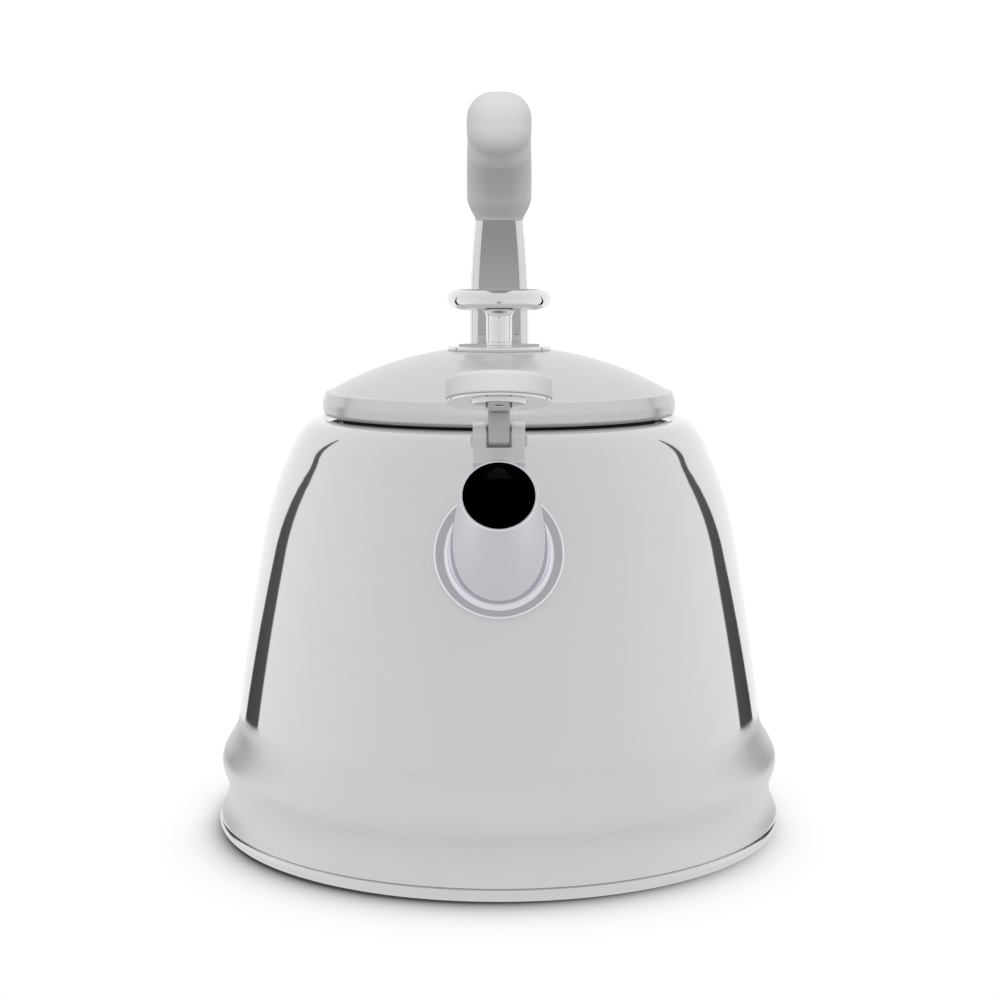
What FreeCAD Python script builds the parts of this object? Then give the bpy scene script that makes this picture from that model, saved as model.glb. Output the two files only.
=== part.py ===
# Stovetop whistling kettle, millimetres and degrees.
#
# The frame stands at the middle of the underside of the base: +Z is up, -Y is the way the spout points
# and the handle rises at +Y. Every driving size is a cell of the sheet "Sizes". A formula below is
# written with the cells' aliases, and is bound to the object that it sizes.

import math
import os
import re

import FreeCAD
import Part
import Sketcher

os.makedirs("parts", exist_ok=True)
doc = FreeCAD.newDocument("Kettle")
Vector = FreeCAD.Vector
X_AXIS = Vector(1, 0, 0)
Y_AXIS = Vector(0, 1, 0)
Z_AXIS = Vector(0, 0, 1)
TINY_TURN = 1e-9  # an unturned placement still needs a turn, or it forgets its axis

# ---------------------------------------------------------------- driving sizes
SIZES = {
    # the bell of the kettle: outside radii and heights of its outline, from the base up
    "shell_wall": 1.0,
    "lip_radius": 94.4,
    "lip_height": 4.0,
    "waist_radius": 91.6,
    "waist_height": 12.6,
    "bulge_low_radius": 92.8,
    "bulge_low_height": 18.4,
    "bulge_high_radius": 92.7,
    "bulge_high_height": 26.0,
    "side_foot_radius": 88.4,
    "side_foot_height": 33.0,
    "side_mid_radius": 78.3,
    "side_mid_height": 99.0,
    "shoulder_radius": 69.5,
    "shoulder_height": 125.5,
    "brow_radius": 63.4,
    "brow_height": 135.0,
    "rim_radius": 58.6,
    "rim_height": 136.3,
    "mouth_radius": 53.5,
    "mouth_flange_height": 6.0,
    # how tightly each stretch of the outline curves
    "foot_curve": 14.0,
    "bulge_curve": 7.5,
    "flare_curve": 9.0,
    "side_curve": 1000.0,
    "shoulder_curve": 110.0,
    "brow_curve": 24.0,
    "rim_curve": 9.0,
    # the base: a steel pan with a bead round it, and an aluminium plate in a steel capsule
    "bead_overhang": 0.8,
    "bead_clearance": 0.5,
    "bead_curve": 2.0,
    "bead_foot_inset": 1.2,
    "bead_top_inset": 0.9,
    "pan_step_inset": 4.5,
    "pan_thickness": 1.0,
    "capsule_radius": 87.5,
    "capsule_thickness": 0.8,
    "capsule_round": 1.0,
    "spreader_thickness": 3.2,
    # the lid
    "lid_wall": 1.0,
    "lid_edge_radius": 58.7,
    "lid_edge_height": 141.6,
    "lid_gap": 1.0,
    "lid_seat_radius": 57.9,
    "dome_edge_radius": 57.2,
    "dome_edge_height": 144.3,
    "dome_edge_inset": 0.4,
    "dome_flat_radius": 18.0,
    "dome_flat_height": 158.2,
    "dome_curve": 105.0,
    "lid_edge_curve": 4.6,
    "lid_ring_depth": 12.0,
    "lid_ring_wall": 0.8,
    "lid_ring_lift": 1.0,
    "seal_thickness": 1.7,
    "seal_height": 4.5,
    "seal_drop": 2.0,
    "seal_taper": 0.6,
    "lid_clearance": 0.4,
    # the knob on the lid
    "plate_radius": 17.4,
    "plate_thickness": 1.6,
    "plate_chamfer": 0.4,
    "plate_chamfer_height": 0.5,
    "plate_round": 0.6,
    "stem_foot_radius": 4.1,
    "stem_foot_height": 1.2,
    "stem_radius": 4.35,
    "stem_length": 8.2,
    "stem_flare_radius": 6.6,
    "stem_flare_height": 2.5,
    "knob_radius": 17.4,
    "knob_thickness": 6.6,
    "knob_screw_radius": 2.0,
    "knob_screw_bite": 4.0,
    "screw_head_radius": 4.0,
    "screw_head_height": 2.4,
    "screw_head_round": 1.0,
    "washer_radius": 7.0,
    "washer_thickness": 1.0,
    # the spout, whose own axis starts at its root and runs out through its mouth
    "spout_rise": 31.5,
    "spout_root_out": 78.0,
    "spout_root_height": 101.5,
    "spout_length": 41.8,
    "spout_tail": 9.0,
    "spout_root_radius": 15.2,
    "spout_mouth_radius": 10.8,
    "spout_wall": 0.8,
    "spout_lip": 0.4,
    "spout_hole_clearance": 0.3,
    "collar_radius": 19.5,
    "collar_tilt": 13.0,
    "collar_thickness": 2.0,
    "spout_seal_radius": 18.7,
    "spout_seal_thickness": 0.8,
    "inner_ring_radius": 19.0,
    "inner_ring_thickness": 1.2,
    # the whistle and its hinge, in the spout's own frame
    "hinge_behind_mouth": 7.05,
    "hinge_above_axis": 20.34,
    "whistle_open": 71.6,
    "whistle_gap": 0.3,
    "bracket_width": 14.7,
    "bracket_length": 11.0,
    "bracket_behind_mouth": 1.3,
    "bracket_eye_radius": 5.8,
    "slot_width": 7.3,
    "slot_floor": 15.2,
    "pin_radius": 1.5,
    "pin_clearance": 0.05,
    "pin_head_radius": 1.9,
    "pin_head_length": 0.7,
    "lever_width": 6.3,
    "lever_hub_radius": 4.3,
    "lever_thickness": 3.2,
    "lever_tongue_width": 5.0,
    "lever_tongue_thickness": 1.6,
    "lever_tongue_end": 4.5,
    "lever_tongue_clearance": 0.3,
    "lever_overlap": 1.0,
    "hinge_washer_inset": 0.3,
    "hinge_washer_clearance": 0.1,
    "cap_radius": 14.6,
    "cap_height": 6.2,
    "cap_wall": 1.4,
    "cap_round": 1.3,
    "cap_vent_radius": 2.2,
    "whistle_plate_radius": 14.3,
    "whistle_plate_thickness": 0.8,
    "whistle_cup_radius": 8.25,
    "whistle_cup_depth": 0.7,
    "whistle_cup_round": 0.4,
    "whistle_hole_radius": 1.6,
    "sounding_disc_radius": 9.4,
    "sounding_disc_thickness": 0.5,
    "rivet_radius": 1.3,
    "rivet_head_radius": 2.3,
    "rivet_head_height": 0.7,
    # the handle: an upright bar behind the lid, whose tang turns forward over the lid inside the grip
    "arm_out": 84.0,
    "arm_width": 22.2,
    "arm_neck_width": 17.8,
    "arm_flare_height": 162.0,
    "arm_flare_curve": 402.0,
    "arm_thickness": 9.0,
    "arm_round": 3.2,
    "arm_foot_height": 95.0,
    "arm_top_height": 204.0,
    "arm_bend": 27.5,
    "tang_width": 12.0,
    "tang_thickness": 4.0,
    "tang_round": 1.0,
    "tang_end": 4.0,
    "liner_wall": 3.0,
    "liner_round": 2.5,
    "liner_end": -9.0,
    "grip_width": 22.6,
    "grip_height": 21.0,
    "grip_round": 7.5,
    "grip_end": -19.5,
    "grip_nose_round": 6.5,
    "saddle_width": 24.0,
    "saddle_depth": 26.0,
    "saddle_top_height": 126.0,
    "saddle_round": 3.0,
    "handle_screw_radius": 2.5,
    "handle_screw_low": 103.0,
    "handle_screw_pitch": 15.0,
    "handle_screw_bite": 6.0,
    "handle_screw_clearance": 0.25,
    "handle_seal_radius": 6.5,
    "handle_seal_edge": 1.5,
    "handle_seal_reach": 12.0,
    "handle_head_radius": 4.6,
    "handle_head_height": 3.0,
}

sheet = doc.addObject("Spreadsheet::Sheet", "Sizes")
for row, (alias, size) in enumerate(SIZES.items(), start=1):
    sheet.set(f"A{row}", alias)
    sheet.set(f"B{row}", str(size))
    sheet.setAlias(f"B{row}", alias)
doc.recompute()


# ---------------------------------------------------------------- helpers
def bound(formula):
    """The formula with each alias written as a cell of the sheet."""
    return re.sub(r"[a-z_]+", lambda word: "Sizes." + word[0] if word[0] in SIZES else word[0], formula)


def number(formula):
    """What the formula gives now."""
    result = sheet.evalExpression(formula)
    return float(getattr(result, "Value", result))


def bind(thing, **formulas):
    """Bind properties to formulas; a double underscore in a name stands for a dot."""
    for name, formula in formulas.items():
        thing.setExpression(name.replace("__", "."), bound(formula))


def place(thing, at=("0", "0", "0"), axis=X_AXIS, turn="0"):
    """Put a thing at a point and turn it about an axis, all bound to the sheet."""
    thing.Placement = FreeCAD.Placement(Vector(), FreeCAD.Rotation(axis, number(turn) or TINY_TURN))
    for letter, formula in zip("xyz", at):
        thing.setExpression(f"Placement.Base.{letter}", bound(formula))
    if turn != "0":
        thing.setExpression("Placement.Rotation.Angle", bound(turn))
    return thing


def origin_plane(body, role):
    return next(plane for plane in body.Origin.OriginFeatures if plane.Role == role)


def sketch_on(body, role, name, lift="0"):
    """An empty sketch on one of the body's own planes, lifted off it along its normal."""
    sketch = body.newObject("Sketcher::SketchObject", name)
    sketch.AttachmentSupport = [(origin_plane(body, role), "")]
    sketch.MapMode = "FlatFace"
    sketch.setExpression("AttachmentOffset.Base.z", bound(lift))
    return sketch


def arc_between(start, end, radius):
    """The short arc from start to end. A positive radius keeps its centre on the left of the way."""
    chord = end - start
    half = chord.Length / 2
    reach = math.sqrt(radius * radius - half * half)
    left = Vector(-chord.y, chord.x, 0).normalize()
    centre = (start + end) * 0.5 + left * math.copysign(reach, radius)
    first, last = (start, end) if radius > 0 else (end, start)
    angles = [math.atan2(point.y - centre.y, point.x - centre.x) for point in (first, last)]
    if angles[1] < angles[0]:
        angles[1] += 2 * math.pi
    return Part.ArcOfCircle(Part.Circle(centre, Z_AXIS, abs(radius)), *angles)


def draw(sketch, stations, closed=True):
    """Draw an outline through stations (across, up) or (across, up, radius of the arc to the next)."""
    points = [Vector(number(station[0]), number(station[1]), 0) for station in stations]
    spans = len(points) if closed else len(points) - 1
    ends = []
    for index in range(spans):
        start, end = points[index], points[(index + 1) % len(points)]
        if len(stations[index]) == 3:
            radius = number(stations[index][2])
            edge = sketch.addGeometry(arc_between(start, end, radius), False)
            ends.append((edge, 1, 2) if radius > 0 else (edge, 2, 1))
            dimension = sketch.addConstraint(Sketcher.Constraint("Radius", edge, abs(radius)))
            sketch.setExpression(f"Constraints[{dimension}]", bound(f"abs({stations[index][2]})"))
        else:
            edge = sketch.addGeometry(Part.LineSegment(start, end), False)
            ends.append((edge, 1, 2))
    for index in range(spans if closed else spans - 1):
        edge, _, tail = ends[index]
        following, head, _ = ends[(index + 1) % spans]
        sketch.addConstraint(Sketcher.Constraint("Coincident", edge, tail, following, head))
    for index, station in enumerate(stations):
        edge, head, tail = ends[min(index, spans - 1)]
        corner = head if index < spans else tail
        for kind, formula in (("DistanceX", station[0]), ("DistanceY", station[1])):
            fixed = Sketcher.Constraint(kind, -1, 1, edge, corner, number(formula))
            dimension = sketch.addConstraint(fixed)
            if formula != "0":
                sketch.setExpression(f"Constraints[{dimension}]", bound(formula))
    return sketch


def new_body(label):
    body = doc.addObject("PartDesign::Body", label)
    body.Label = label
    return body


def turned(label, stations):
    """A piece turned about its own Z axis from an outline of (radius, height) stations."""
    body = new_body(label)
    sketch = draw(sketch_on(body, "XZ_Plane", label + "_outline"), stations)
    turn = body.newObject("PartDesign::Revolution", label + "_turn")
    turn.Profile = sketch
    turn.ReferenceAxis = (sketch, ["V_Axis"])
    turn.Angle = 360
    body.Tip = turn
    return body


def rounded_rectangle(across, up, width, height, corner):
    """Stations of a rectangle about the point (across, up), with a quarter arc at each corner."""
    stations = []
    signs = ((1, -1), (1, 1), (-1, 1), (-1, -1))
    for number_of_corner, (side, top) in enumerate(signs):
        far_x = f"({across}) + {side} * ({width}) / 2"
        far_y = f"({up}) + {top} * ({height}) / 2"
        near_x = f"{far_x} - {side} * ({corner})"
        near_y = f"{far_y} - {top} * ({corner})"
        entry, leave = ((near_x, far_y), (far_x, near_y))
        if number_of_corner % 2:
            entry, leave = leave, entry
        stations += [(*entry, corner), leave]
    return stations


def cylinder(name, radius, height, at=("0", "0", "0"), axis=X_AXIS, turn="0"):
    solid = doc.addObject("Part::Cylinder", name)
    bind(solid, Radius=radius, Height=height)
    return place(solid, at, axis, turn)


def block(name, length, width, height, at):
    solid = doc.addObject("Part::Box", name)
    bind(solid, Length=length, Width=width, Height=height)
    return place(solid, at)


def cut(name, base, *tools):
    """The base less its tools, one after another."""
    for index, tool in enumerate(tools):
        result = doc.addObject("Part::Cut", name if tool is tools[-1] else f"{name}_cut{index}")
        result.Base, result.Tool = base, tool
        base = result
    return base


def joined(name, *pieces):
    result = doc.addObject("Part::MultiFuse", name)
    result.Shapes = list(pieces)
    return result


def shared(name, *pieces):
    result = doc.addObject("Part::MultiCommon", name)
    result.Shapes = list(pieces)
    return result


# ---------------------------------------------------------------- the bell
def bell_line(grow):
    """The bell's outside line from its lip up to the rim, moved outwards by a formula."""
    return [
        (f"lip_radius + ({grow})", "lip_height", "-foot_curve"),
        (f"waist_radius + ({grow})", "waist_height", "-flare_curve"),
        (f"bulge_low_radius + ({grow})", "bulge_low_height", "bulge_curve"),
        (f"bulge_high_radius + ({grow})", "bulge_high_height"),
        (f"side_foot_radius + ({grow})", "side_foot_height", "side_curve"),
        (f"side_mid_radius + ({grow})", "side_mid_height", "shoulder_curve"),
        (f"shoulder_radius + ({grow})", "shoulder_height", "brow_curve"),
        (f"brow_radius + ({grow})", "brow_height", "rim_curve"),
    ]


def backwards(line):
    """The same line walked the other way, so each arc's radius changes its sign and its station."""
    curves = [station[2] if len(station) == 3 else None for station in line]
    stations = []
    for index in range(len(line) - 1, -1, -1):
        curve = curves[index - 1] if index else None
        stations.append((*line[index][:2], f"-({curve})") if curve else line[index][:2])
    return stations


def bell_solid(name, grow):
    """The bell filled solid, as a tool that trims what is fitted to its wall."""
    line = bell_line(grow) + [(f"rim_radius + ({grow})", "rim_height")]
    return turned(name, line + [("0", "rim_height"), ("0", "lip_height")])


def bell_skin():
    """The enamelled steel shell: outside line up, rim rolled into the mouth, inside line down."""
    outside = bell_line("0") + [("rim_radius", "rim_height")]
    rim = [
        ("mouth_radius + shell_wall", "rim_height", "shell_wall"),
        ("mouth_radius", "rim_height - shell_wall"),
        ("mouth_radius", "rim_height - mouth_flange_height"),
        ("mouth_radius + shell_wall", "rim_height - mouth_flange_height"),
        ("mouth_radius + shell_wall", "rim_height - shell_wall"),
        ("rim_radius", "rim_height - shell_wall"),
    ]
    inside = bell_line("-shell_wall")
    inside[-1] = inside[-1][:2]
    return turned("shell_blank", outside + rim + backwards(inside))


bell_outside = bell_solid("bell_outside", "0")
bell_inside = bell_solid("bell_inside", "-shell_wall")
SPOUT_AT = ("0", "-spout_root_out", "spout_root_height")
SPOUT_TURN = "90 - spout_rise"
COLLAR_TURN = "90 - collar_tilt"
SCREW_HEIGHTS = ("handle_screw_low", "handle_screw_low + handle_screw_pitch")


def along_spout(distance):
    """The point at a distance along the spout's axis."""
    return (
        "0",
        f"-spout_root_out - ({distance}) * cos(spout_rise)",
        f"spout_root_height + ({distance}) * sin(spout_rise)",
    )


def spout_radius(distance):
    """The spout's outside radius at a distance along its axis."""
    slope = "(spout_root_radius - spout_mouth_radius) / spout_length"
    return f"spout_root_radius - {slope} * ({distance})"


spout_hole = cylinder("spout_hole", f"{spout_radius('-spout_tail')} + spout_hole_clearance",
                      "4 * spout_tail", along_spout("-2 * spout_tail"), X_AXIS, SPOUT_TURN)


def backward_rods(name, radius, start, length):
    """Two rods along +Y, one at each handle screw."""
    rods = [
        cylinder(f"{name}_{index}", radius, length, ("0", start, height), X_AXIS, "-90")
        for index, height in enumerate(SCREW_HEIGHTS)
    ]
    return joined(name, *rods)


screw_holes = backward_rods("screw_holes", "handle_screw_radius + handle_screw_clearance",
                            "mouth_radius", "lip_radius")
cut("body_shell", bell_skin(), spout_hole, screw_holes)

# ---------------------------------------------------------------- the base
PAN_UNDER = "capsule_thickness + spreader_thickness"
BEAD_OUT = "lip_radius + bead_overhang"
turned("base_pan", [
    ("0", PAN_UNDER),
    ("capsule_radius + bead_clearance", PAN_UNDER),
    ("capsule_radius + bead_clearance", "bead_clearance"),
    (f"{BEAD_OUT} - bead_foot_inset", "0", "bead_curve"),
    (BEAD_OUT, "lip_height / 2", "bead_curve"),
    (f"{BEAD_OUT} - bead_top_inset", "lip_height"),
    ("lip_radius - pan_step_inset", "lip_height"),
    ("lip_radius - pan_step_inset", f"{PAN_UNDER} + pan_thickness"),
    ("0", f"{PAN_UNDER} + pan_thickness"),
])
turned("heat_spreader", [
    ("0", "capsule_thickness"),
    ("capsule_radius - capsule_thickness", "capsule_thickness"),
    ("capsule_radius - capsule_thickness", PAN_UNDER),
    ("0", PAN_UNDER),
])
turned("base_capsule", [
    ("0", "0"),
    ("capsule_radius - capsule_round", "0", "capsule_round"),
    ("capsule_radius", "capsule_round"),
    ("capsule_radius", PAN_UNDER),
    ("capsule_radius - capsule_thickness", PAN_UNDER),
    ("capsule_radius - capsule_thickness", "capsule_thickness"),
    ("0", "capsule_thickness"),
])

# ---------------------------------------------------------------- the lid
LID_FOOT = "rim_height + lid_gap"
LID_INSIDE = "lid_seat_radius - lid_wall"
SCREW_HOLE = "knob_screw_radius"
turned("lid_shell", [
    (SCREW_HOLE, "dome_flat_height - lid_wall"),
    ("dome_flat_radius", "dome_flat_height - lid_wall", "-dome_curve + lid_wall"),
    ("dome_edge_radius - dome_edge_inset", "dome_edge_height - lid_wall"),
    (LID_INSIDE, "lid_edge_height"),
    (LID_INSIDE, LID_FOOT),
    ("lid_seat_radius", LID_FOOT),
    ("lid_edge_radius", "lid_edge_height", "lid_edge_curve"),
    ("dome_edge_radius", "dome_edge_height", "dome_curve"),
    ("dome_flat_radius", "dome_flat_height"),
    (SCREW_HOLE, "dome_flat_height"),
])
RING_OUT = "mouth_radius - lid_clearance - seal_thickness"
RING_LOW = "rim_height - lid_ring_depth"
turned("lid_locating_ring", [
    (f"{RING_OUT} - lid_ring_wall", RING_LOW),
    (RING_OUT, RING_LOW),
    (RING_OUT, f"{LID_FOOT} + lid_ring_lift"),
    (LID_INSIDE, f"{LID_FOOT} + lid_ring_lift"),
    (LID_INSIDE, f"{LID_FOOT} + lid_ring_lift + lid_ring_wall"),
    (f"{RING_OUT} - lid_ring_wall", f"{LID_FOOT} + lid_ring_lift + lid_ring_wall"),
])
turned("lid_seal", [
    (RING_OUT, "rim_height - seal_drop - seal_height"),
    (f"{RING_OUT} + seal_thickness - seal_taper", "rim_height - seal_drop - seal_height"),
    (f"{RING_OUT} + seal_thickness", "rim_height - seal_drop - seal_height / 2"),
    (f"{RING_OUT} + seal_thickness - seal_taper", "rim_height - seal_drop"),
    (RING_OUT, "rim_height - seal_drop"),
])
PLATE_TOP = "dome_flat_height + plate_thickness"
turned("knob_plate", [
    (SCREW_HOLE, "dome_flat_height"),
    ("plate_radius - plate_chamfer", "dome_flat_height"),
    ("plate_radius", "dome_flat_height + plate_chamfer_height"),
    ("plate_radius", f"{PLATE_TOP} - plate_round", "plate_round"),
    ("plate_radius - plate_round", PLATE_TOP),
    (SCREW_HOLE, PLATE_TOP),
])
FLARE_LOW = f"{PLATE_TOP} + stem_foot_height + stem_length"
KNOB_LOW = f"{FLARE_LOW} + stem_flare_height"
turned("knob_stem", [
    (SCREW_HOLE, PLATE_TOP),
    ("stem_foot_radius", PLATE_TOP),
    ("stem_foot_radius", f"{PLATE_TOP} + stem_foot_height"),
    ("stem_radius", f"{PLATE_TOP} + stem_foot_height"),
    ("stem_radius", FLARE_LOW, "-stem_flare_height"),
    ("stem_flare_radius", KNOB_LOW),
    (SCREW_HOLE, KNOB_LOW),
])
turned("knob_disc", [
    ("0", f"{KNOB_LOW} + knob_screw_bite"),
    (SCREW_HOLE, f"{KNOB_LOW} + knob_screw_bite"),
    (SCREW_HOLE, KNOB_LOW),
    ("knob_radius - knob_thickness / 2", KNOB_LOW, "knob_thickness / 2"),
    ("knob_radius", f"{KNOB_LOW} + knob_thickness / 2", "knob_thickness / 2"),
    ("knob_radius - knob_thickness / 2", f"{KNOB_LOW} + knob_thickness"),
    ("0", f"{KNOB_LOW} + knob_thickness"),
])
LID_UNDER = "dome_flat_height - lid_wall"
turned("knob_washer", [
    (SCREW_HOLE, f"{LID_UNDER} - washer_thickness"),
    ("washer_radius", f"{LID_UNDER} - washer_thickness"),
    ("washer_radius", LID_UNDER),
    (SCREW_HOLE, LID_UNDER),
])
HEAD_TOP = f"{LID_UNDER} - washer_thickness"
turned("knob_screw", [
    ("0", f"{HEAD_TOP} - screw_head_height"),
    ("screw_head_radius - screw_head_round", f"{HEAD_TOP} - screw_head_height", "screw_head_round"),
    ("screw_head_radius", f"{HEAD_TOP} - screw_head_height + screw_head_round"),
    ("screw_head_radius", HEAD_TOP),
    (SCREW_HOLE, HEAD_TOP),
    (SCREW_HOLE, f"{KNOB_LOW} + knob_screw_bite"),
    ("0", f"{KNOB_LOW} + knob_screw_bite"),
])


# ---------------------------------------------------------------- the spout
def on_spout(piece):
    return place(piece, SPOUT_AT, X_AXIS, SPOUT_TURN)


on_spout(turned("spout_tube", [
    (f"{spout_radius('-spout_tail')} - spout_wall", "-spout_tail"),
    (spout_radius("-spout_tail"), "-spout_tail"),
    (spout_radius("spout_length - spout_lip"), "spout_length - spout_lip", "0.6 * spout_wall"),
    (f"{spout_radius('spout_length - spout_lip')} - spout_wall", "spout_length - spout_lip"),
]))
spout_filled = on_spout(turned("spout_filled", [
    ("0", "-spout_tail"),
    (spout_radius("-spout_tail"), "-spout_tail"),
    (spout_radius("spout_length"), "spout_length"),
    ("0", "spout_length"),
]))


def wall_disc(name, radius, reach):
    """A disc square to the bell's wall at the spout's root, long enough to cross the wall."""
    start = (
        "0",
        f"-spout_root_out + ({reach}) * cos(collar_tilt)",
        f"spout_root_height - ({reach}) * sin(collar_tilt)",
    )
    return cylinder(name, radius, f"2 * ({reach})", start, X_AXIS, COLLAR_TURN)


seal_outside = bell_solid("seal_outside", "spout_seal_thickness")
collar_outside = bell_solid("collar_outside", "spout_seal_thickness + collar_thickness")
ring_inside = bell_solid("ring_inside", "-shell_wall - inner_ring_thickness")
WALL_REACH = "collar_radius"
cut("spout_seal",
    shared("seal_blank", wall_disc("seal_disc", "spout_seal_radius", WALL_REACH), seal_outside),
    bell_outside, spout_filled)
cut("spout_collar",
    shared("collar_blank", wall_disc("collar_disc", "collar_radius", WALL_REACH), collar_outside),
    seal_outside, spout_filled)
cut("spout_inner_ring",
    shared("ring_blank", wall_disc("ring_disc", "inner_ring_radius", WALL_REACH), bell_inside),
    ring_inside, spout_filled)

# ---------------------------------------------------------------- the whistle's hinge, fixed half
HINGE_ALONG = "spout_length - hinge_behind_mouth"
BRACKET_BACK = "spout_length - bracket_behind_mouth - bracket_length"
bracket_base = block("bracket_base", "bracket_width", "hinge_above_axis", "bracket_length",
                     ("-bracket_width / 2", "0", BRACKET_BACK))
bracket_eye = cylinder("bracket_eye", "bracket_eye_radius", "bracket_width",
                       ("-bracket_width / 2", "hinge_above_axis", HINGE_ALONG), Y_AXIS, "90")
bracket_slot = block("bracket_slot", "slot_width", "2 * hinge_above_axis", "3 * bracket_length",
                     ("-slot_width / 2", "slot_floor", f"{BRACKET_BACK} - bracket_length"))
pin_bore = cylinder("pin_bore", "pin_radius", "2 * bracket_width",
                    ("-bracket_width", "hinge_above_axis", HINGE_ALONG), Y_AXIS, "90")
bracket_blank = on_spout(cut("bracket_blank", joined("bracket_ears", bracket_base, bracket_eye),
                             bracket_slot, pin_bore))
cut("whistle_bracket", bracket_blank, spout_filled)
PIN_END = "bracket_width / 2 + pin_head_length"
on_spout(joined(
    "whistle_pin",
    cylinder("pin_shank", "pin_radius", f"2 * ({PIN_END})",
             (f"-({PIN_END})", "hinge_above_axis", HINGE_ALONG), Y_AXIS, "90"),
    cylinder("pin_head_left", "pin_head_radius", "pin_head_length",
             (f"-({PIN_END})", "hinge_above_axis", HINGE_ALONG), Y_AXIS, "90"),
    cylinder("pin_head_right", "pin_head_radius", "pin_head_length",
             ("bracket_width / 2", "hinge_above_axis", HINGE_ALONG), Y_AXIS, "90"),
))

# ---------------------------------------------------------------- the whistle, drawn shut and turned open
OPEN_TURN = "(90 - spout_rise - whistle_open)"
HINGE_OUT = f"(spout_root_out - hinge_above_axis * sin(spout_rise) + ({HINGE_ALONG}) * cos(spout_rise))"
HINGE_UP = f"(spout_root_height + hinge_above_axis * cos(spout_rise) + ({HINGE_ALONG}) * sin(spout_rise))"
WHISTLE_AT = (
    "0",
    f"-{HINGE_OUT} - hinge_above_axis * cos{OPEN_TURN} + ({HINGE_ALONG}) * sin{OPEN_TURN}",
    f"{HINGE_UP} - hinge_above_axis * sin{OPEN_TURN} - ({HINGE_ALONG}) * cos{OPEN_TURN}",
)


def on_whistle(piece):
    return place(piece, WHISTLE_AT, X_AXIS, OPEN_TURN)


SEAT = "(spout_length + whistle_gap)"
DISC_LOW = f"({SEAT} + whistle_plate_thickness)"
DISC_TOP = f"({DISC_LOW} + sounding_disc_thickness)"
TONGUE_TOP = f"({DISC_TOP} + lever_tongue_thickness)"
CAP_TOP = f"({DISC_LOW} + cap_height)"
RIVET_UP = "(whistle_plate_radius + whistle_cup_radius) / 2"

rivet_hole = cylinder("rivet_hole", "rivet_radius", "2 * cap_height",
                      ("0", RIVET_UP, f"{SEAT} - cap_height"))
on_whistle(cut("whistle_plate", turned("plate_blank", [
    ("whistle_hole_radius", f"{SEAT} - whistle_cup_depth"),
    ("whistle_cup_radius - whistle_cup_round", f"{SEAT} - whistle_cup_depth", "whistle_cup_round"),
    ("whistle_cup_radius", f"{SEAT} - whistle_cup_depth + whistle_cup_round"),
    ("whistle_cup_radius", SEAT),
    ("whistle_plate_radius", SEAT),
    ("whistle_plate_radius", DISC_LOW),
    ("whistle_cup_radius - whistle_plate_thickness", DISC_LOW),
    ("whistle_cup_radius - whistle_plate_thickness",
     f"{SEAT} - whistle_cup_depth + whistle_plate_thickness"),
    ("whistle_hole_radius", f"{SEAT} - whistle_cup_depth + whistle_plate_thickness"),
]), rivet_hole))
on_whistle(turned("whistle_sounding_disc", [
    ("whistle_hole_radius", DISC_LOW),
    ("sounding_disc_radius", DISC_LOW),
    ("sounding_disc_radius", DISC_TOP),
    ("whistle_hole_radius", DISC_TOP),
]))
TONGUE_WAY = "(lever_tongue_width + 2 * lever_tongue_clearance)"
tongue_way = block("tongue_way", TONGUE_WAY, "2 * cap_radius",
                   "lever_tongue_thickness + sounding_disc_thickness + lever_tongue_clearance",
                   (f"-{TONGUE_WAY} / 2", "0", DISC_LOW))
on_whistle(cut("whistle_cap", turned("cap_blank", [
    ("cap_radius - cap_wall", DISC_LOW),
    ("cap_radius", DISC_LOW),
    ("cap_radius", f"{CAP_TOP} - cap_round", "cap_round"),
    ("cap_radius - cap_round", CAP_TOP),
    ("cap_vent_radius", CAP_TOP),
    ("cap_vent_radius", f"{CAP_TOP} - cap_wall"),
    ("cap_radius - cap_wall", f"{CAP_TOP} - cap_wall"),
]), tongue_way))

lever_hub = cylinder("lever_hub", "lever_hub_radius", "lever_width",
                     ("-lever_width / 2", "hinge_above_axis", HINGE_ALONG), Y_AXIS, "90")
lever_post = block("lever_post", "lever_width", "lever_thickness + lever_overlap", f"{TONGUE_TOP} - ({HINGE_ALONG})",
                   ("-lever_width / 2", "hinge_above_axis - lever_hub_radius", HINGE_ALONG))
lever_tongue = block("lever_tongue", "lever_tongue_width",
                     "hinge_above_axis - lever_hub_radius - lever_tongue_end + lever_overlap",
                     "lever_tongue_thickness", ("-lever_tongue_width / 2", "lever_tongue_end", DISC_TOP))
lever_pin_hole = cylinder("lever_pin_hole", "pin_radius + pin_clearance", "2 * lever_width",
                          ("-lever_width", "hinge_above_axis", HINGE_ALONG), Y_AXIS, "90")
on_whistle(cut("whistle_lever", joined("lever_blank", lever_hub, lever_post, lever_tongue),
               lever_pin_hole, rivet_hole))
on_whistle(joined(
    "whistle_rivet",
    cylinder("rivet_shank", "rivet_radius", f"{TONGUE_TOP} - {SEAT}", ("0", RIVET_UP, SEAT)),
    cylinder("rivet_head", "rivet_head_radius", "rivet_head_height", ("0", RIVET_UP, TONGUE_TOP)),
))
WASHER_GAP = "(slot_width - lever_width) / 2"
hinge_washers = [
    cut(f"hinge_washer_{side}",
        cylinder(f"washer_{side}", "lever_hub_radius - hinge_washer_inset", f"{WASHER_GAP} - hinge_washer_clearance",
                 (start, "hinge_above_axis", HINGE_ALONG), Y_AXIS, "90"),
        pin_bore)
    for side, start in (("left", "-slot_width / 2"), ("right", f"slot_width / 2 - {WASHER_GAP} + hinge_washer_clearance"))
]
on_spout(joined("whistle_washers", *hinge_washers))


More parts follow.
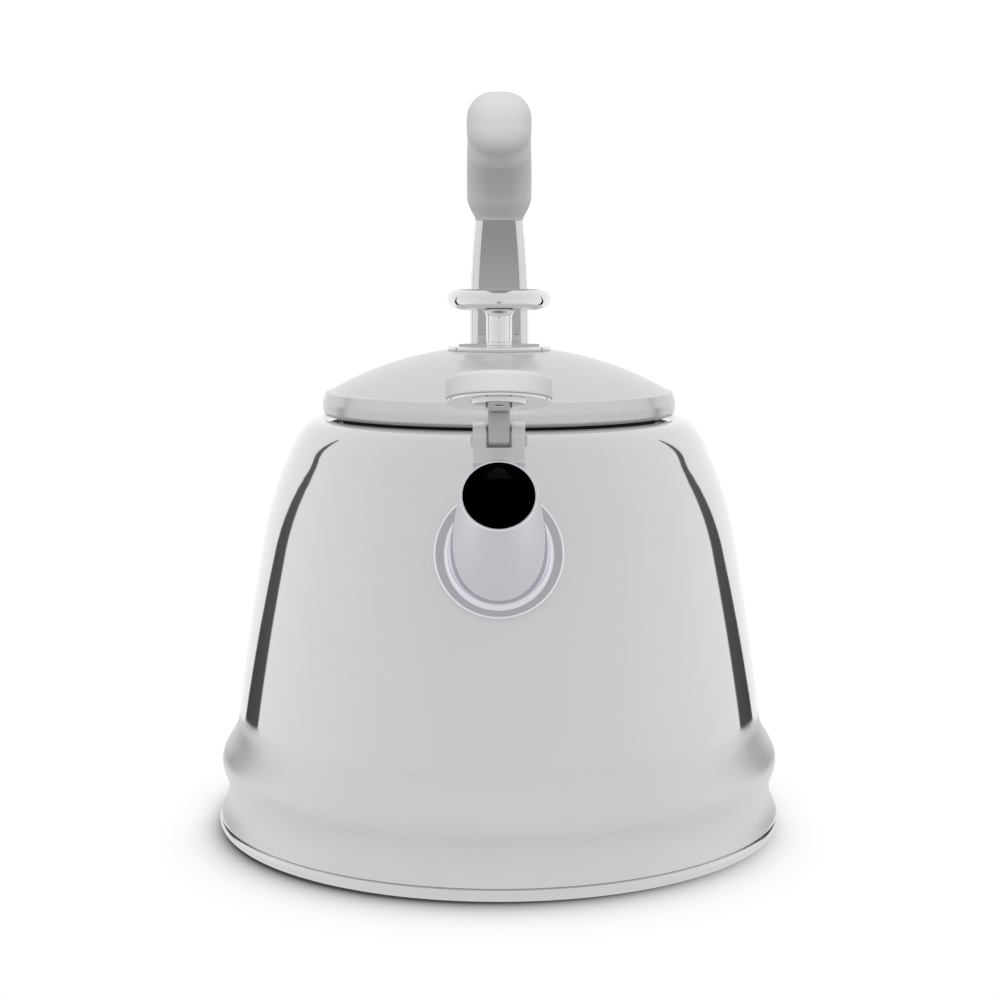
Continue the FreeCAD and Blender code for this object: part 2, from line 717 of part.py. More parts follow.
# ---------------------------------------------------------------- the handle
def bend_path(body, name, end):
    """The grip's middle line: it leaves the arm's top, turns forward in a quarter arc and runs level."""
    level = "arm_top_height + arm_bend"
    return draw(sketch_on(body, "YZ_Plane", name), [
        ("arm_out", "arm_top_height", "arm_bend"),
        ("arm_out - arm_bend", level),
        (end, level),
    ], closed=False)


def pipe(body, kind, name, stations, end):
    """A section at the arm's top carried along the middle line, added to the body or taken from it."""
    section = draw(sketch_on(body, "XY_Plane", name + "_section", "arm_top_height"), stations)
    sweep = body.newObject(f"PartDesign::{kind}Pipe", name)
    sweep.Profile = section
    sweep.Spine = (bend_path(body, name + "_line", end), [])
    sweep.Mode = "Frenet"
    body.Tip = sweep
    doc.recompute()
    return sweep


TANG = rounded_rectangle("0", "arm_out", "tang_width", "tang_thickness", "tang_round")
LINER = rounded_rectangle("0", "arm_out", "tang_width + 2 * liner_wall",
                          "tang_thickness + 2 * liner_wall", "liner_round")
GRIP = rounded_rectangle("0", "arm_out", "grip_width", "grip_height", "grip_round")

arm = new_body("arm_blank")
bar_front = sketch_on(arm, "XZ_Plane", "bar_front", "-(arm_out + arm_thickness / 2)")
draw(bar_front, [
    ("arm_width / 2", "arm_foot_height"),
    ("arm_width / 2", "arm_flare_height", "arm_flare_curve"),
    ("arm_neck_width / 2", "arm_top_height"),
    ("-arm_neck_width / 2", "arm_top_height", "arm_flare_curve"),
    ("-arm_width / 2", "arm_flare_height"),
    ("-arm_width / 2", "arm_foot_height"),
])
bar = arm.newObject("PartDesign::Pad", "arm_bar")
bar.Profile = bar_front
bind(bar, Length="arm_thickness")
arm.Tip = bar
doc.recompute()
long_edges = [f"Edge{index}" for index, edge in enumerate(bar.Shape.Edges, start=1)
              if edge.BoundBox.ZLength > number("arm_bend")]
bar_rounding = arm.newObject("PartDesign::Fillet", "arm_bar_rounding")
bar_rounding.Base = (bar, long_edges)
bind(bar_rounding, Radius="arm_round")
arm.Tip = bar_rounding
doc.recompute()
pipe(arm, "Additive", "arm_tang", TANG, "tang_end")
screw_bite = backward_rods("screw_bite", "handle_screw_radius", "mouth_radius",
                           "arm_out - arm_thickness / 2 + handle_screw_bite - mouth_radius")
cut("handle_arm", arm, screw_bite)

liner = new_body("grip_liner")
pipe(liner, "Additive", "liner_outside", LINER, "liner_end")
pipe(liner, "Subtractive", "liner_hollow", TANG, "tang_end")

grip = new_body("handle_grip")
skin = pipe(grip, "Additive", "grip_outside", GRIP, "grip_end")
nose = min(range(len(skin.Shape.Faces)), key=lambda face: skin.Shape.Faces[face].CenterOfMass.y)
rounding = grip.newObject("PartDesign::Fillet", "grip_nose")
rounding.Base = (skin, [f"Face{nose + 1}"])
bind(rounding, Radius="grip_nose_round")
grip.Tip = rounding
doc.recompute()
pipe(grip, "Subtractive", "grip_hollow", LINER, "liner_end")

saddle = new_body("saddle_blank")
saddle_section = sketch_on(saddle, "XY_Plane", "saddle_section", "arm_foot_height")
draw(saddle_section, rounded_rectangle("0", "arm_out - arm_thickness / 2 - saddle_depth / 2",
                                       "saddle_width", "saddle_depth", "saddle_round"))
saddle_pad = saddle.newObject("PartDesign::Pad", "saddle_pad")
saddle_pad.Profile = saddle_section
bind(saddle_pad, Length="saddle_top_height - arm_foot_height")
cut("handle_saddle", saddle, bell_outside, screw_holes)

def wall_inside(height):
    """The bell's inside radius at a height between its middle and its shoulder, along the chord."""
    slope = "(side_mid_radius - shoulder_radius) / (shoulder_height - side_mid_height)"
    return f"(side_mid_radius - shell_wall - (({height}) - side_mid_height) * {slope})"


# a wedge of silicone sits under each head, flat towards the head and sloped like the wall behind it
HEAD_PLANES = [f"{wall_inside(f'{height} + handle_seal_radius')} - handle_seal_edge"
               for height in SCREW_HEIGHTS]
seal_rods = []
screws = []
for which, (height, head) in enumerate(zip(SCREW_HEIGHTS, HEAD_PLANES)):
    tip = "arm_out - arm_thickness / 2 + handle_screw_bite"
    seal_rods.append(cylinder(f"seal_rod_{which}", "handle_seal_radius", "handle_seal_reach",
                              ("0", head, height), X_AXIS, "-90"))
    screws.append(cylinder(f"screw_shank_{which}", "handle_screw_radius", f"{tip} - ({head})",
                           ("0", head, height), X_AXIS, "-90"))
    screws.append(cylinder(f"screw_head_{which}", "handle_head_radius", "handle_head_height",
                           ("0", f"{head} - handle_head_height", height), X_AXIS, "-90"))
seals_blank = shared("seals_blank", joined("seal_rods", *seal_rods), bell_inside)
cut("handle_seals", seals_blank, screw_holes)
joined("handle_screws", *screws)

# ---------------------------------------------------------------- check and write
NODES = [
    "body_shell", "base_pan", "heat_spreader", "base_capsule",
    "lid_shell", "lid_locating_ring", "lid_seal",
    "knob_plate", "knob_stem", "knob_disc", "knob_washer", "knob_screw",
    "spout_tube", "spout_seal", "spout_collar", "spout_inner_ring",
    "whistle_bracket", "whistle_pin", "whistle_washers",
    "whistle_lever", "whistle_cap", "whistle_plate", "whistle_sounding_disc", "whistle_rivet",
    "handle_arm", "grip_liner", "handle_grip", "handle_saddle", "handle_seals", "handle_screws",
]

doc.recompute()
for thing in doc.Objects:
    if "Invalid" in thing.State or "Error" in thing.State:
        raise SystemExit(f"{thing.Label} failed: {thing.State}")
for label in NODES:
    shape = doc.getObjectsByLabel(label)[0].Shape
    if shape.isNull() or not shape.isValid() or not shape.Solids:
        raise SystemExit(f"{label} has no valid solid")
for label in NODES:
    shape = doc.getObjectsByLabel(label)[0].Shape
    shape.exportStep(f"parts/{label}.step")
    print(f"{label:24s} {len(shape.Solids)} solid, {shape.Volume / 1000:9.3f} cm3")
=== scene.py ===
# %% [markdown]
# # A whistling kettle of white enamelled steel
# This lesson dresses a finished mechanical model. The frame holds every part at its true size and
# place, and says which parts move together. Here each part gets the curved surface and the finish
# that the real one has, and the model stands in a white studio.

# %% Load the frame
import math
import bmesh
import bpy
import numpy as np
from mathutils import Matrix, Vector
from mathutils.bvhtree import BVHTree


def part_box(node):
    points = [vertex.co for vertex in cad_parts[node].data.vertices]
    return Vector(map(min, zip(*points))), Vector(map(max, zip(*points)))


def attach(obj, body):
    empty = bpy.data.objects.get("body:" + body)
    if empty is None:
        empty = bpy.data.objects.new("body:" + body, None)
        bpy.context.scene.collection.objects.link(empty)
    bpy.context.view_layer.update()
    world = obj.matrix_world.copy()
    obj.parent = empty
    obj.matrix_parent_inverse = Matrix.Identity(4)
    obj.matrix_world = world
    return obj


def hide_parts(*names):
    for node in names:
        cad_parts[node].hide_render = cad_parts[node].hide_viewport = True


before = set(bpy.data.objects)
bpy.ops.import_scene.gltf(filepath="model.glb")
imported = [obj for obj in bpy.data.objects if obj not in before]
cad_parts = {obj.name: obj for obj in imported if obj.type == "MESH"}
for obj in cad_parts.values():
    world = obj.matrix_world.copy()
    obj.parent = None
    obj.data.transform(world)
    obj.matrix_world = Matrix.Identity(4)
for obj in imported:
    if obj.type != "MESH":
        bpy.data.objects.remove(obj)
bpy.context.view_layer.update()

MM = 0.001

# %% [markdown]
# ## Camera
# The kettle is seen from the front, a little above its lid, from about 60 cm with a short telephoto
# lens. A long lens from further off would flatten the spout; this one lets it reach towards us.

# %% The camera
CAMERA_DISTANCE = 626.3 * MM
CAMERA_HEIGHT = 185.7 * MM
CAMERA_PITCH = math.radians(7.09)
CAMERA_LENS = 67.4

camera_data = bpy.data.cameras.new("camera")
camera_data.lens = CAMERA_LENS
camera_data.sensor_width = 36.0
camera = bpy.data.objects.new("camera", camera_data)
bpy.context.scene.collection.objects.link(camera)
camera.location = (0.0003, -CAMERA_DISTANCE, CAMERA_HEIGHT)
camera.rotation_euler = (math.radians(90) - CAMERA_PITCH, 0, 0)
bpy.context.scene.camera = camera

# %% [markdown]
# ## Helpers for surfaces
# Nearly every part of a kettle is turned, pressed or bent, so two builders do most of the work: one
# spins an outline about an axis, the other carries a section along a path. Both compute whole
# arrays of points and hand them to the mesh in one call.


# %% Mesh from arrays
def finish_mesh(name, points, faces, body, finish, replaces=(), sharp=35):
    """Makes a piece from its points (metres) and faces, rides it on a body and gives it a finish.

    Edges whose two faces meet at more than `sharp` degrees stay crisp; all others are shaded smooth.
    """
    mesh = bpy.data.meshes.new(name)
    mesh.from_pydata(points.tolist(), [], faces)
    mesh.polygons.foreach_set("use_smooth", np.ones(len(mesh.polygons), bool))
    mesh.update()
    crease(mesh, sharp)
    piece = bpy.data.objects.new(name, mesh)
    bpy.context.scene.collection.objects.link(piece)
    mesh.materials.append(finish)
    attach(piece, body)
    if replaces:
        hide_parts(*replaces)
    return piece


def crease(mesh, degrees):
    """Marks the edges that are sharper than an angle, so that shading breaks there."""
    work = bmesh.new()
    work.from_mesh(mesh)
    limit = math.radians(degrees)
    for edge in work.edges:
        edge.smooth = len(edge.link_faces) == 2 and edge.calc_face_angle() < limit
    work.to_mesh(mesh)
    work.free()


def grid_faces(ids):
    """Quads between neighbouring rows and columns of a grid of point numbers, as a list.

    A quad whose corners repeat, next to a pole, loses the repeated corner and becomes a triangle.
    """
    low, high = ids[:-1], ids[1:]
    quads = np.stack([low[:, :-1], low[:, 1:], high[:, 1:], high[:, :-1]], axis=-1).reshape(-1, 4)
    flat_low = quads[:, 0] == quads[:, 1]
    flat_high = quads[:, 2] == quads[:, 3]
    whole = quads[~flat_low & ~flat_high]
    return whole.tolist() + quads[flat_low][:, 1:].tolist() + quads[flat_high][:, :3].tolist()


# %% Outlines
def softened(corners, steps=5):
    """A closed outline with its corners rounded.

    Each corner is (radius, height, rounding). A rounded corner becomes an arc that touches both
    sides, at a distance rounding / tan(half the angle between them) from the corner. A point is
    added just outside each end of the arc, so that the flats beside it stay flat when shaded.
    """
    points = np.array([corner[:2] for corner in corners], float)
    outline = []
    for index, corner in enumerate(corners):
        here = points[index]
        rounding = corner[2] if len(corner) > 2 else 0
        if not rounding:
            outline.append(here[None])
            continue
        ways = [points[index - 1] - here, points[(index + 1) % len(points)] - here]
        ways = [way / np.linalg.norm(way) for way in ways]
        half = math.acos(np.clip(ways[0] @ ways[1], -1, 1)) / 2
        reach = rounding / math.tan(half)
        middle = here + (ways[0] + ways[1]) / np.linalg.norm(ways[0] + ways[1]) * rounding / math.sin(half)
        first, last = here + ways[0] * reach - middle, here + ways[1] * reach - middle
        turn = math.atan2(first[0] * last[1] - first[1] * last[0], first @ last)
        angles = np.linspace(0, turn, steps + 1)
        spin = np.stack([np.cos(angles), np.sin(angles)], axis=1)
        arc = middle + spin[:, :1] * first + spin[:, 1:] * np.array([-first[1], first[0]])
        guard = 0.3 * reach
        outline += [(here + ways[0] * (reach + guard))[None], arc, (here + ways[1] * (reach + guard))[None]]
    return np.concatenate(outline)


def arc_line(start, end, radius, count):
    """Points on the short arc between two points, centre on the left for a positive radius."""
    start, end = np.array(start, float), np.array(end, float)
    chord = end - start
    left = np.array([-chord[1], chord[0]]) / np.linalg.norm(chord)
    middle = (start + end) / 2 + left * math.copysign(math.sqrt(radius ** 2 - chord @ chord / 4), radius)
    first, last = start - middle, end - middle
    turn = math.atan2(first[0] * last[1] - first[1] * last[0], first @ last)
    angles = np.linspace(0, turn, count)
    turned = np.array([-first[1], first[0]])
    return middle + np.cos(angles)[:, None] * first + np.sin(angles)[:, None] * turned


def spun(outline, turns=160):
    """Points and faces of an outline (radius, height) in millimetres, spun about the Z axis.

    A point is (r cos a, r sin a, z) for each angle a. Points on the axis are made once, as poles. The
    outline runs anticlockwise, with the material on its left, so that faces point outwards.
    """
    radius, height = np.asarray(outline, float).T * MM
    angles = np.arange(turns) * 2 * math.pi / turns
    pole = radius < 1e-7
    rows, ids, count = [], [], 0
    for r, z, single in zip(radius, height, pole):
        around = angles[:1] if single else angles
        rows.append(np.stack([r * np.cos(around), r * np.sin(around), np.full(len(around), z)], axis=1))
        numbers = np.arange(count, count + len(around))
        ids.append(np.resize(numbers, turns + 1))
        count += len(around)
    if not pole.any():
        ids.append(ids[0])
    return np.concatenate(rows), grid_faces(np.array(ids))


def lathe(name, outline, body, finish, replaces=(), turns=160, place=None, sharp=35):
    """A turned piece. `place` moves its points from its own axis to where it stands."""
    points, faces = spun(outline, turns)
    if place is not None:
        points = place(points)
    return finish_mesh(name, points, faces, body, finish, replaces, sharp)


# %% [markdown]
# ## Helpers for finishes
# A finish is a small graph of shader nodes. One function adds a node, sets it and wires it. Colours
# are written as they look on a screen and turned into the linear values that light works with.


# %% Colours and nodes
def colour(code):
    """Linear RGBA of an sRGB hex code: each channel c becomes ((c + 0.055) / 1.055) ** 2.4."""
    channels = np.array([int(code[i:i + 2], 16) / 255 for i in (1, 3, 5)])
    linear = np.where(channels <= 0.04045, channels / 12.92, ((channels + 0.055) / 1.055) ** 2.4)
    return (*linear.tolist(), 1.0)


def add(tree, kind, inputs=None, **settings):
    """Adds a node. Settings are its own; inputs are values, or sockets to be wired in."""
    node = tree.nodes.new(kind)
    for name, value in settings.items():
        setattr(node, name, value)
    for name, value in (inputs or {}).items():
        if isinstance(value, bpy.types.NodeSocket):
            tree.links.new(value, node.inputs[name])
        else:
            node.inputs[name].default_value = value
    return node


def new_finish(name, **values):
    """A material with one Principled shader whose sockets are set to plain values."""
    finish = bpy.data.materials.new(name)
    finish.use_nodes = True
    shader = finish.node_tree.nodes["Principled BSDF"]
    for socket, value in values.items():
        shader.inputs[socket.replace("_", " ")].default_value = value
    return finish, finish.node_tree, shader


def grain(tree, size, detail=3.0, vector=None, stretch=(1, 1, 1)):
    """Noise whose blobs are `size` millimetres across, from 0 to 1, in the piece's own coordinates."""
    source = vector or add(tree, "ShaderNodeTexCoord").outputs["Object"]
    mapped = add(tree, "ShaderNodeMapping", {"Vector": source, "Scale": stretch})
    scale = {"Vector": mapped.outputs[0], "Scale": 1 / (size * MM), "Detail": detail}
    return add(tree, "ShaderNodeTexNoise", scale).outputs["Fac"]


def ranged(tree, value, low, high):
    """Takes a value that runs from 0.3 to 0.7, as noise mostly does, to a range of its own."""
    steps = {"Value": value, "From Min": 0.3, "From Max": 0.7, "To Min": low, "To Max": high}
    return add(tree, "ShaderNodeMapRange", steps).outputs[0]


def bumped(tree, shader, height, depth):
    """Feeds a height to the shader's normal. `depth` is in millimetres."""
    node = add(tree, "ShaderNodeBump", {"Height": height, "Distance": depth * MM, "Strength": 1.0})
    tree.links.new(node.outputs["Normal"], shader.inputs["Normal"])


def tinted(tree, shader, fac, dark, light):
    """Lets the base colour wander between two hex colours."""
    mix = add(tree, "ShaderNodeMix", data_type="RGBA")
    mix.inputs["A"].default_value = colour(dark)
    mix.inputs["B"].default_value = colour(light)
    tree.links.new(fac, mix.inputs["Factor"])
    tree.links.new(mix.outputs["Result"], shader.inputs["Base Color"])


def rings(tree, middle=(0, 0, 0), tilt=0.0):
    """A vector that is the same all round an axis: (distance from the axis, place along it, 0)."""
    source = add(tree, "ShaderNodeTexCoord").outputs["Object"]
    own = add(tree, "ShaderNodeMapping", {"Vector": source, "Location": middle, "Rotation": (tilt, 0, 0)},
              vector_type="TEXTURE")
    parts = add(tree, "ShaderNodeSeparateXYZ", {"Vector": own.outputs[0]})
    across = add(tree, "ShaderNodeCombineXYZ", {"X": parts.outputs["X"], "Y": parts.outputs["Y"]})
    radius = add(tree, "ShaderNodeVectorMath", {0: across.outputs[0]}, operation="LENGTH")
    both = {"X": radius.outputs["Value"], "Y": parts.outputs["Z"]}
    return add(tree, "ShaderNodeCombineXYZ", both).outputs[0]


# %% [markdown]
# ## Enamel
# Vitreous enamel is glass melted onto steel. It is opaque and off-white underneath, with a smooth,
# hard, glossy coat above, and the coat keeps the very slight waviness of molten glass. Pearl in the
# coat of the body sends back crisp, dark streaks, as polished steel would; the lid has less of it and
# looks softer. The lid's colour is also painted darker than the body's, as painted shade on the lid. A
# Principled coat gives the glass, and fine noise gives the waviness.


# %% Enamel
def make_enamel(name, steely, rough, dark, light, coat=0.5):
    """`steely` is how much of the light comes back as from metal, through a clear coat over pearl."""
    finish, tree, shader = new_finish(
        name, Roughness=rough, Metallic=steely, IOR=1.5, Coat_Weight=coat, Coat_Roughness=0.03, Coat_IOR=1.5)
    tinted(tree, shader, grain(tree, 30), dark, light)
    bumped(tree, shader, grain(tree, 5, 2), 0.003)
    return finish


def thickened(finish, low, high, rough_low, rough_high):
    """Molten enamel runs down and gathers over the roll and the foot, where it fires to a softer gloss.

    The roughness goes smoothly from one value to the other between two heights in mm.
    """
    tree = finish.node_tree
    shader = tree.nodes["Principled BSDF"]
    place = add(tree, "ShaderNodeTexCoord").outputs["Object"]
    height = add(tree, "ShaderNodeSeparateXYZ", {"Vector": place}).outputs["Z"]
    levels = {"Value": height, "From Min": low * MM, "From Max": high * MM,
              "To Min": rough_low, "To Max": rough_high}
    softness = add(tree, "ShaderNodeMapRange", levels, interpolation_type="SMOOTHSTEP").outputs[0]
    for name in ("Roughness", "Coat Roughness"):
        tree.links.new(softness, shader.inputs[name])


enamel = make_enamel("vitreous_enamel", 0.86, 0.06, "#DADADA", "#DEDEDE")
thickened(enamel, 35.5, 40.5, 0.42, 0.06)
# The lid's enamel is painted darker than the body's: painted shade on the lid.
darkened_lid_enamel = make_enamel("vitreous_enamel_lid_painted_darker", 0.3, 0.22, "#C4C4C4", "#C8C8C8", 0.1)
# Near-black enamel for the insides of the bell and the spout: painted shade in the hollows.
painted_shade_enamel = make_enamel("black_painted_shade_enamel", 0.0, 0.3, "#0E0E0F", "#131314", 0.2)

# %% [markdown]
# ## Metals
# Three kinds of bright metal meet on this kettle. Chrome plate is a mirror with faint wiping marks.
# The spout is stainless steel spun on a mandrel and polished, so very fine rings run round it. The
# base is stainless steel left satin, with wider rings from the lathe.


# %% Metals
def make_chrome():
    finish, tree, shader = new_finish("chrome_plate", Metallic=1.0, Base_Color=colour("#EDEDEE"))
    smears = ranged(tree, grain(tree, 12, 4), 0.025, 0.07)
    tree.links.new(smears, shader.inputs["Roughness"])
    return finish


def make_spun_steel(name, dark, light, rough, ring, depth, middle=(0, 0, 0), tilt=0.0):
    """Steel with the fine rings that spinning and polishing leave round an axis."""
    finish, tree, shader = new_finish(name, Metallic=1.0)
    marks = grain(tree, ring, 2, rings(tree, middle, tilt))
    tinted(tree, shader, marks, dark, light)
    tree.links.new(ranged(tree, marks, *rough), shader.inputs["Roughness"])
    bumped(tree, shader, marks, depth)
    return finish


def make_blasted_steel():
    finish, tree, shader = new_finish("bead_blasted_steel", Metallic=1.0)
    specks = grain(tree, 0.25, 2)
    tinted(tree, shader, specks, "#B8B8BA", "#C8C8CA")
    tree.links.new(ranged(tree, specks, 0.32, 0.45), shader.inputs["Roughness"])
    bumped(tree, shader, specks, 0.008)
    return finish


def make_satin_chrome():
    """Chrome over a casting that was tumbled, not polished: the same metal, but misty."""
    finish, tree, shader = new_finish("satin_chrome", Metallic=1.0, Base_Color=colour("#E2E2E4"))
    specks = grain(tree, 0.4, 2)
    tree.links.new(ranged(tree, specks, 0.3, 0.4), shader.inputs["Roughness"])
    bumped(tree, shader, specks, 0.002)
    return finish


chrome = make_chrome()
satin = make_satin_chrome()
blasted = make_blasted_steel()
base_steel = make_spun_steel("satin_stainless_steel", "#DEDEE0", "#EAEAEC", (0.14, 0.24), 0.5, 0.002)
plain_steel = make_spun_steel("plain_stainless_steel", "#B5B5B7", "#CFCFD1", (0.2, 0.32), 0.8, 0.002)
aluminium = make_spun_steel("rolled_aluminium", "#C4C5C7", "#D6D7D9", (0.25, 0.4), 0.6, 0.003)

# %% [markdown]
# ## Plastics and rubber
# The grip and the cap of the whistle are moulded nylon with a soft-touch lacquer: dead matt, slightly
# velvety at its edges, with a grain as fine as dust. Silicone is softer still and near black; in the gap
# under the lid its dark colour also stands in for shade, as painted shade.


# %% Plastics and rubber
def make_moulded(name, dark, light, rough, size, depth, sheen=0.0):
    """A moulded or lacquered surface: near-even colour, fine grain and broad, dull highlights."""
    finish, tree, shader = new_finish(name, IOR=1.5, Sheen_Weight=sheen, Sheen_Roughness=0.5)
    specks = grain(tree, size, 3)
    tinted(tree, shader, grain(tree, 14, 3), dark, light)
    tree.links.new(ranged(tree, specks, *rough), shader.inputs["Roughness"])
    bumped(tree, shader, specks, depth)
    return finish


soft_touch = make_moulded("soft_touch_lacquer", "#C9C9C9", "#CECECE", (0.5, 0.62), 0.35, 0.012, 0.15)
nylon = make_moulded("moulded_nylon", "#C2C2BD", "#CBCBC7", (0.4, 0.5), 0.6, 0.01)
silicone = make_moulded("silicone_rubber", "#2E2E2F", "#353536", (0.55, 0.7), 0.5, 0.01)

# %% [markdown]
# ## Measuring the frame
# A pressed shell is best rebuilt as one smooth surface, because the frame's copy is made of flat
# triangles. A ray sent from outside towards a point inside a part finds its outside surface, so a
# fan of rays gives its outline.


# %% Rays onto a part
def outline_of(node, centre_height, low, high, count):
    """Outside outline (radius, height) in mm of a round part, between two angles above the level.

    Rays come in from 30 cm away towards a point on the axis, in the plane x = r, y = 0.
    """
    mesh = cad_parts[node].data
    corners = np.empty(len(mesh.vertices) * 3)
    mesh.vertices.foreach_get("co", corners)
    tree = BVHTree.FromPolygons(corners.reshape(-1, 3).tolist(), [p.vertices[:] for p in mesh.polygons])
    centre = Vector((0, 0, centre_height * MM))
    outline = []
    for angle in np.radians(np.linspace(low, high, count)):
        way = Vector((math.cos(angle), 0, math.sin(angle)))
        hit = tree.ray_cast(centre + way * 0.3, -way)[0]
        outline.append((hit.x / MM, hit.z / MM))
    return np.array(outline)


def smoothed(outline, spread):
    """Averages neighbouring points with a bell curve, keeping both ends where they are."""
    offsets = np.arange(-3 * spread, 3 * spread + 1)
    weights = np.exp(-0.5 * (offsets / spread) ** 2)
    weights /= weights.sum()
    mirrored = np.pad(outline, ((len(offsets) // 2,) * 2, (0, 0)), "reflect", reflect_type="odd")
    return np.stack([np.convolve(column, weights, "valid") for column in mirrored.T], axis=1)


def inset(outline, wall):
    """Moves each point of an open outline to the left of its way by a wall's thickness."""
    way = np.gradient(outline, axis=0)
    way /= np.linalg.norm(way, axis=1, keepdims=True)
    return outline + wall * np.stack([-way[:, 1], way[:, 0]], axis=1)


# %% [markdown]
# ## The bell
# The body is one sheet of steel, spun into a bell and enamelled inside and out. Its line rises from a
# lip over a rolled bulge, runs up almost straight, and turns in over a shoulder to the rim where the
# lid sits. Enamel rounds every edge, so the rim and the lip are rolled too.

# %% The bell
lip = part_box("body_shell")[0].z / MM
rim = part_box("body_shell")[1].z / MM
WALL = 1.0
MOUTH_RADIUS = 53.5
BELL_CENTRE = 60.0
bell_line = smoothed(outline_of("body_shell", BELL_CENTRE, -30.6, 52.2, 420), 4)
print("bell: %.1f mm to %.1f mm high, %.1f mm at its widest" % (lip, rim, bell_line[:, 0].max() * 2))


def make_bell():
    """Outside line up, rolled rim, flange down, and the inside line back down to the lip."""
    flange = softened([(MOUTH_RADIUS, rim, 1.4), (MOUTH_RADIUS, rim - 6, 0.45),
                       (MOUTH_RADIUS + WALL, rim - 6, 0.45), (MOUTH_RADIUS + WALL, rim - WALL, 0.6)])
    inside = inset(bell_line, WALL)[::-1]
    inside = inside[inside[:, 0] > MOUTH_RADIUS + WALL + 1.5]
    inside = inside[inside[:, 1] < rim - WALL]
    outline = np.concatenate([bell_line, flange, inside])
    return lathe("bell", outline, "kettle", enamel, ["body_shell"], turns=256)


bell = make_bell()

# %% [markdown]
# The sheet is pierced for the spout before it is enamelled, so water can run from the body into the
# spout. Inside, from 7 mm below the rim down, the enamel is painted near-black: painted shade in the
# hollow of the bell. Two more holes at the back take the handle's screws. A cutter shaped like each
# hole removes the wall there, just as a press tool does.

# %% Holes in the bell
SPOUT_RISE = math.radians(31.5)
SPOUT_ROOT = np.array([0, -78.0, 101.5])
SPOUT_AXIS = np.array([0, -math.cos(SPOUT_RISE), math.sin(SPOUT_RISE)])
SPOUT_UP = np.array([0, math.sin(SPOUT_RISE), math.cos(SPOUT_RISE)])
SPOUT_HOLE = 16.4
SCREW_HOLE = 2.75
SCREW_HEIGHTS = (103, 118)
PAINTED_SHADE_DEPTH = 7


def on_spout(points):
    """Takes points from the spout's own axis (+Z) to where it stands: root + x X + y up + z axis."""
    across = points[:, :1] * np.array([1.0, 0, 0])
    return SPOUT_ROOT * MM + across + points[:, 1:2] * SPOUT_UP + points[:, 2:3] * SPOUT_AXIS


def carve(piece, *cutters, operation="DIFFERENCE"):
    """Cuts meshes out of a piece, or joins them to it, and keeps its points and its place."""
    for points, faces in cutters:
        mesh = bpy.data.meshes.new("cutter")
        mesh.from_pydata(points.tolist(), [], faces)
        tool = bpy.data.objects.new("cutter", mesh)
        bpy.context.scene.collection.objects.link(tool)
        step = piece.modifiers.new("cut", "BOOLEAN")
        step.object, step.operation, step.solver = tool, operation, "EXACT"
        settle(piece)
        bpy.data.objects.remove(tool)
        bpy.data.meshes.remove(mesh)


def partly(piece, finish, choose):
    """Gives a second finish to the faces that `choose` picks by their middles (metres) and normals."""
    mesh = piece.data
    mesh.materials.append(finish)
    middles, normals = (np.empty(len(mesh.polygons) * 3) for _ in range(2))
    mesh.polygons.foreach_get("center", middles)
    mesh.polygons.foreach_get("normal", normals)
    chosen = choose(middles.reshape(-1, 3), normals.reshape(-1, 3))
    mesh.polygons.foreach_set("material_index", chosen.astype(np.int32))


def faces_axis(middles, normals):
    """The faces that look towards the kettle's own axis."""
    return (middles[:, :2] * normals[:, :2]).sum(axis=1) < 0


def settle(piece):
    """Makes a piece's modifiers part of its mesh."""
    done = bpy.data.meshes.new_from_object(piece.evaluated_get(bpy.context.evaluated_depsgraph_get()))
    old = piece.data
    piece.modifiers.clear()
    piece.data = done
    bpy.data.meshes.remove(old)


def rod(radius, low, high, place=None, turns=64):
    """A plain cylinder as points and faces."""
    points, faces = spun([(0, low), (radius, low), (radius, high), (0, high)], turns)
    return (place(points) if place else points), faces


def backward(height):
    """Turns a rod to lie along +Y at a height."""
    return lambda points: points[:, [0, 2, 1]] * [-1, 1, 1] + np.array([0, 0, height * MM])


def in_painted_shade(middles, normals):
    """The faces that look towards the axis, from 7 mm below the rim down."""
    return faces_axis(middles, normals) & (middles[:, 2] < (rim - PAINTED_SHADE_DEPTH) * MM)


carve(bell, rod(SPOUT_HOLE, -18, 18, on_spout, 96),
      *(rod(SCREW_HOLE, 60, 95, backward(height)) for height in SCREW_HEIGHTS))
crease(bell.data, 35)
# The inside of the bell, from 7 mm below the rim down, is painted near-black: painted shade.
partly(bell, painted_shade_enamel, in_painted_shade)
print("bell:", len(bell.data.polygons), "faces after piercing")

# %% [markdown]
# ## The base
# A steel pan closes the bell. Its rolled bead is the bright line round the foot. Under it a thick
# aluminium disc, boxed in steel, spreads the heat. Satin rings from the lathe run round both.

# %% Base pan and capsule
BEAD = 95.2
PAN_FLOOR = 4
CAPSULE = 87.5
CAPSULE_WALL = 0.8
bead = arc_line((BEAD - 2.2, 0.02), (BEAD - 1.6, 3.96), 2.05, 20)
pan = np.concatenate([
    [(0, PAN_FLOOR), (88, PAN_FLOOR), (88, 0.5)], bead,
    [(89.9, PAN_FLOOR), (89.9, PAN_FLOOR + 1), (0, PAN_FLOOR + 1)]])
lathe("pan_with_bead", pan, "kettle", base_steel, ["base_pan"], turns=256)
capsule = softened([
    (0, 0), (CAPSULE, 0, 1.0), (CAPSULE, PAN_FLOOR, 0.2), (CAPSULE - CAPSULE_WALL, PAN_FLOOR, 0.2),
    (CAPSULE - CAPSULE_WALL, CAPSULE_WALL, 0.3), (0, CAPSULE_WALL)])
lathe("boxed_base", capsule, "kettle", base_steel, ["base_capsule"], turns=192)
print("base: %.1f mm across its bead" % (BEAD * 2))

# %% [markdown]
# ## The lid
# The lid is a shallow dome pressed from sheet. Its edge is turned down in a soft band, and where the
# dome meets that band there is a fine crease. A steel ring and a silicone seal below it drop into the
# mouth of the bell.

# %% Lid
LID_FOOT = 136.8
DOME_RADIUS = 105.0
DOME_TOP = 158.2
RING_OUTSIDE = 51.4


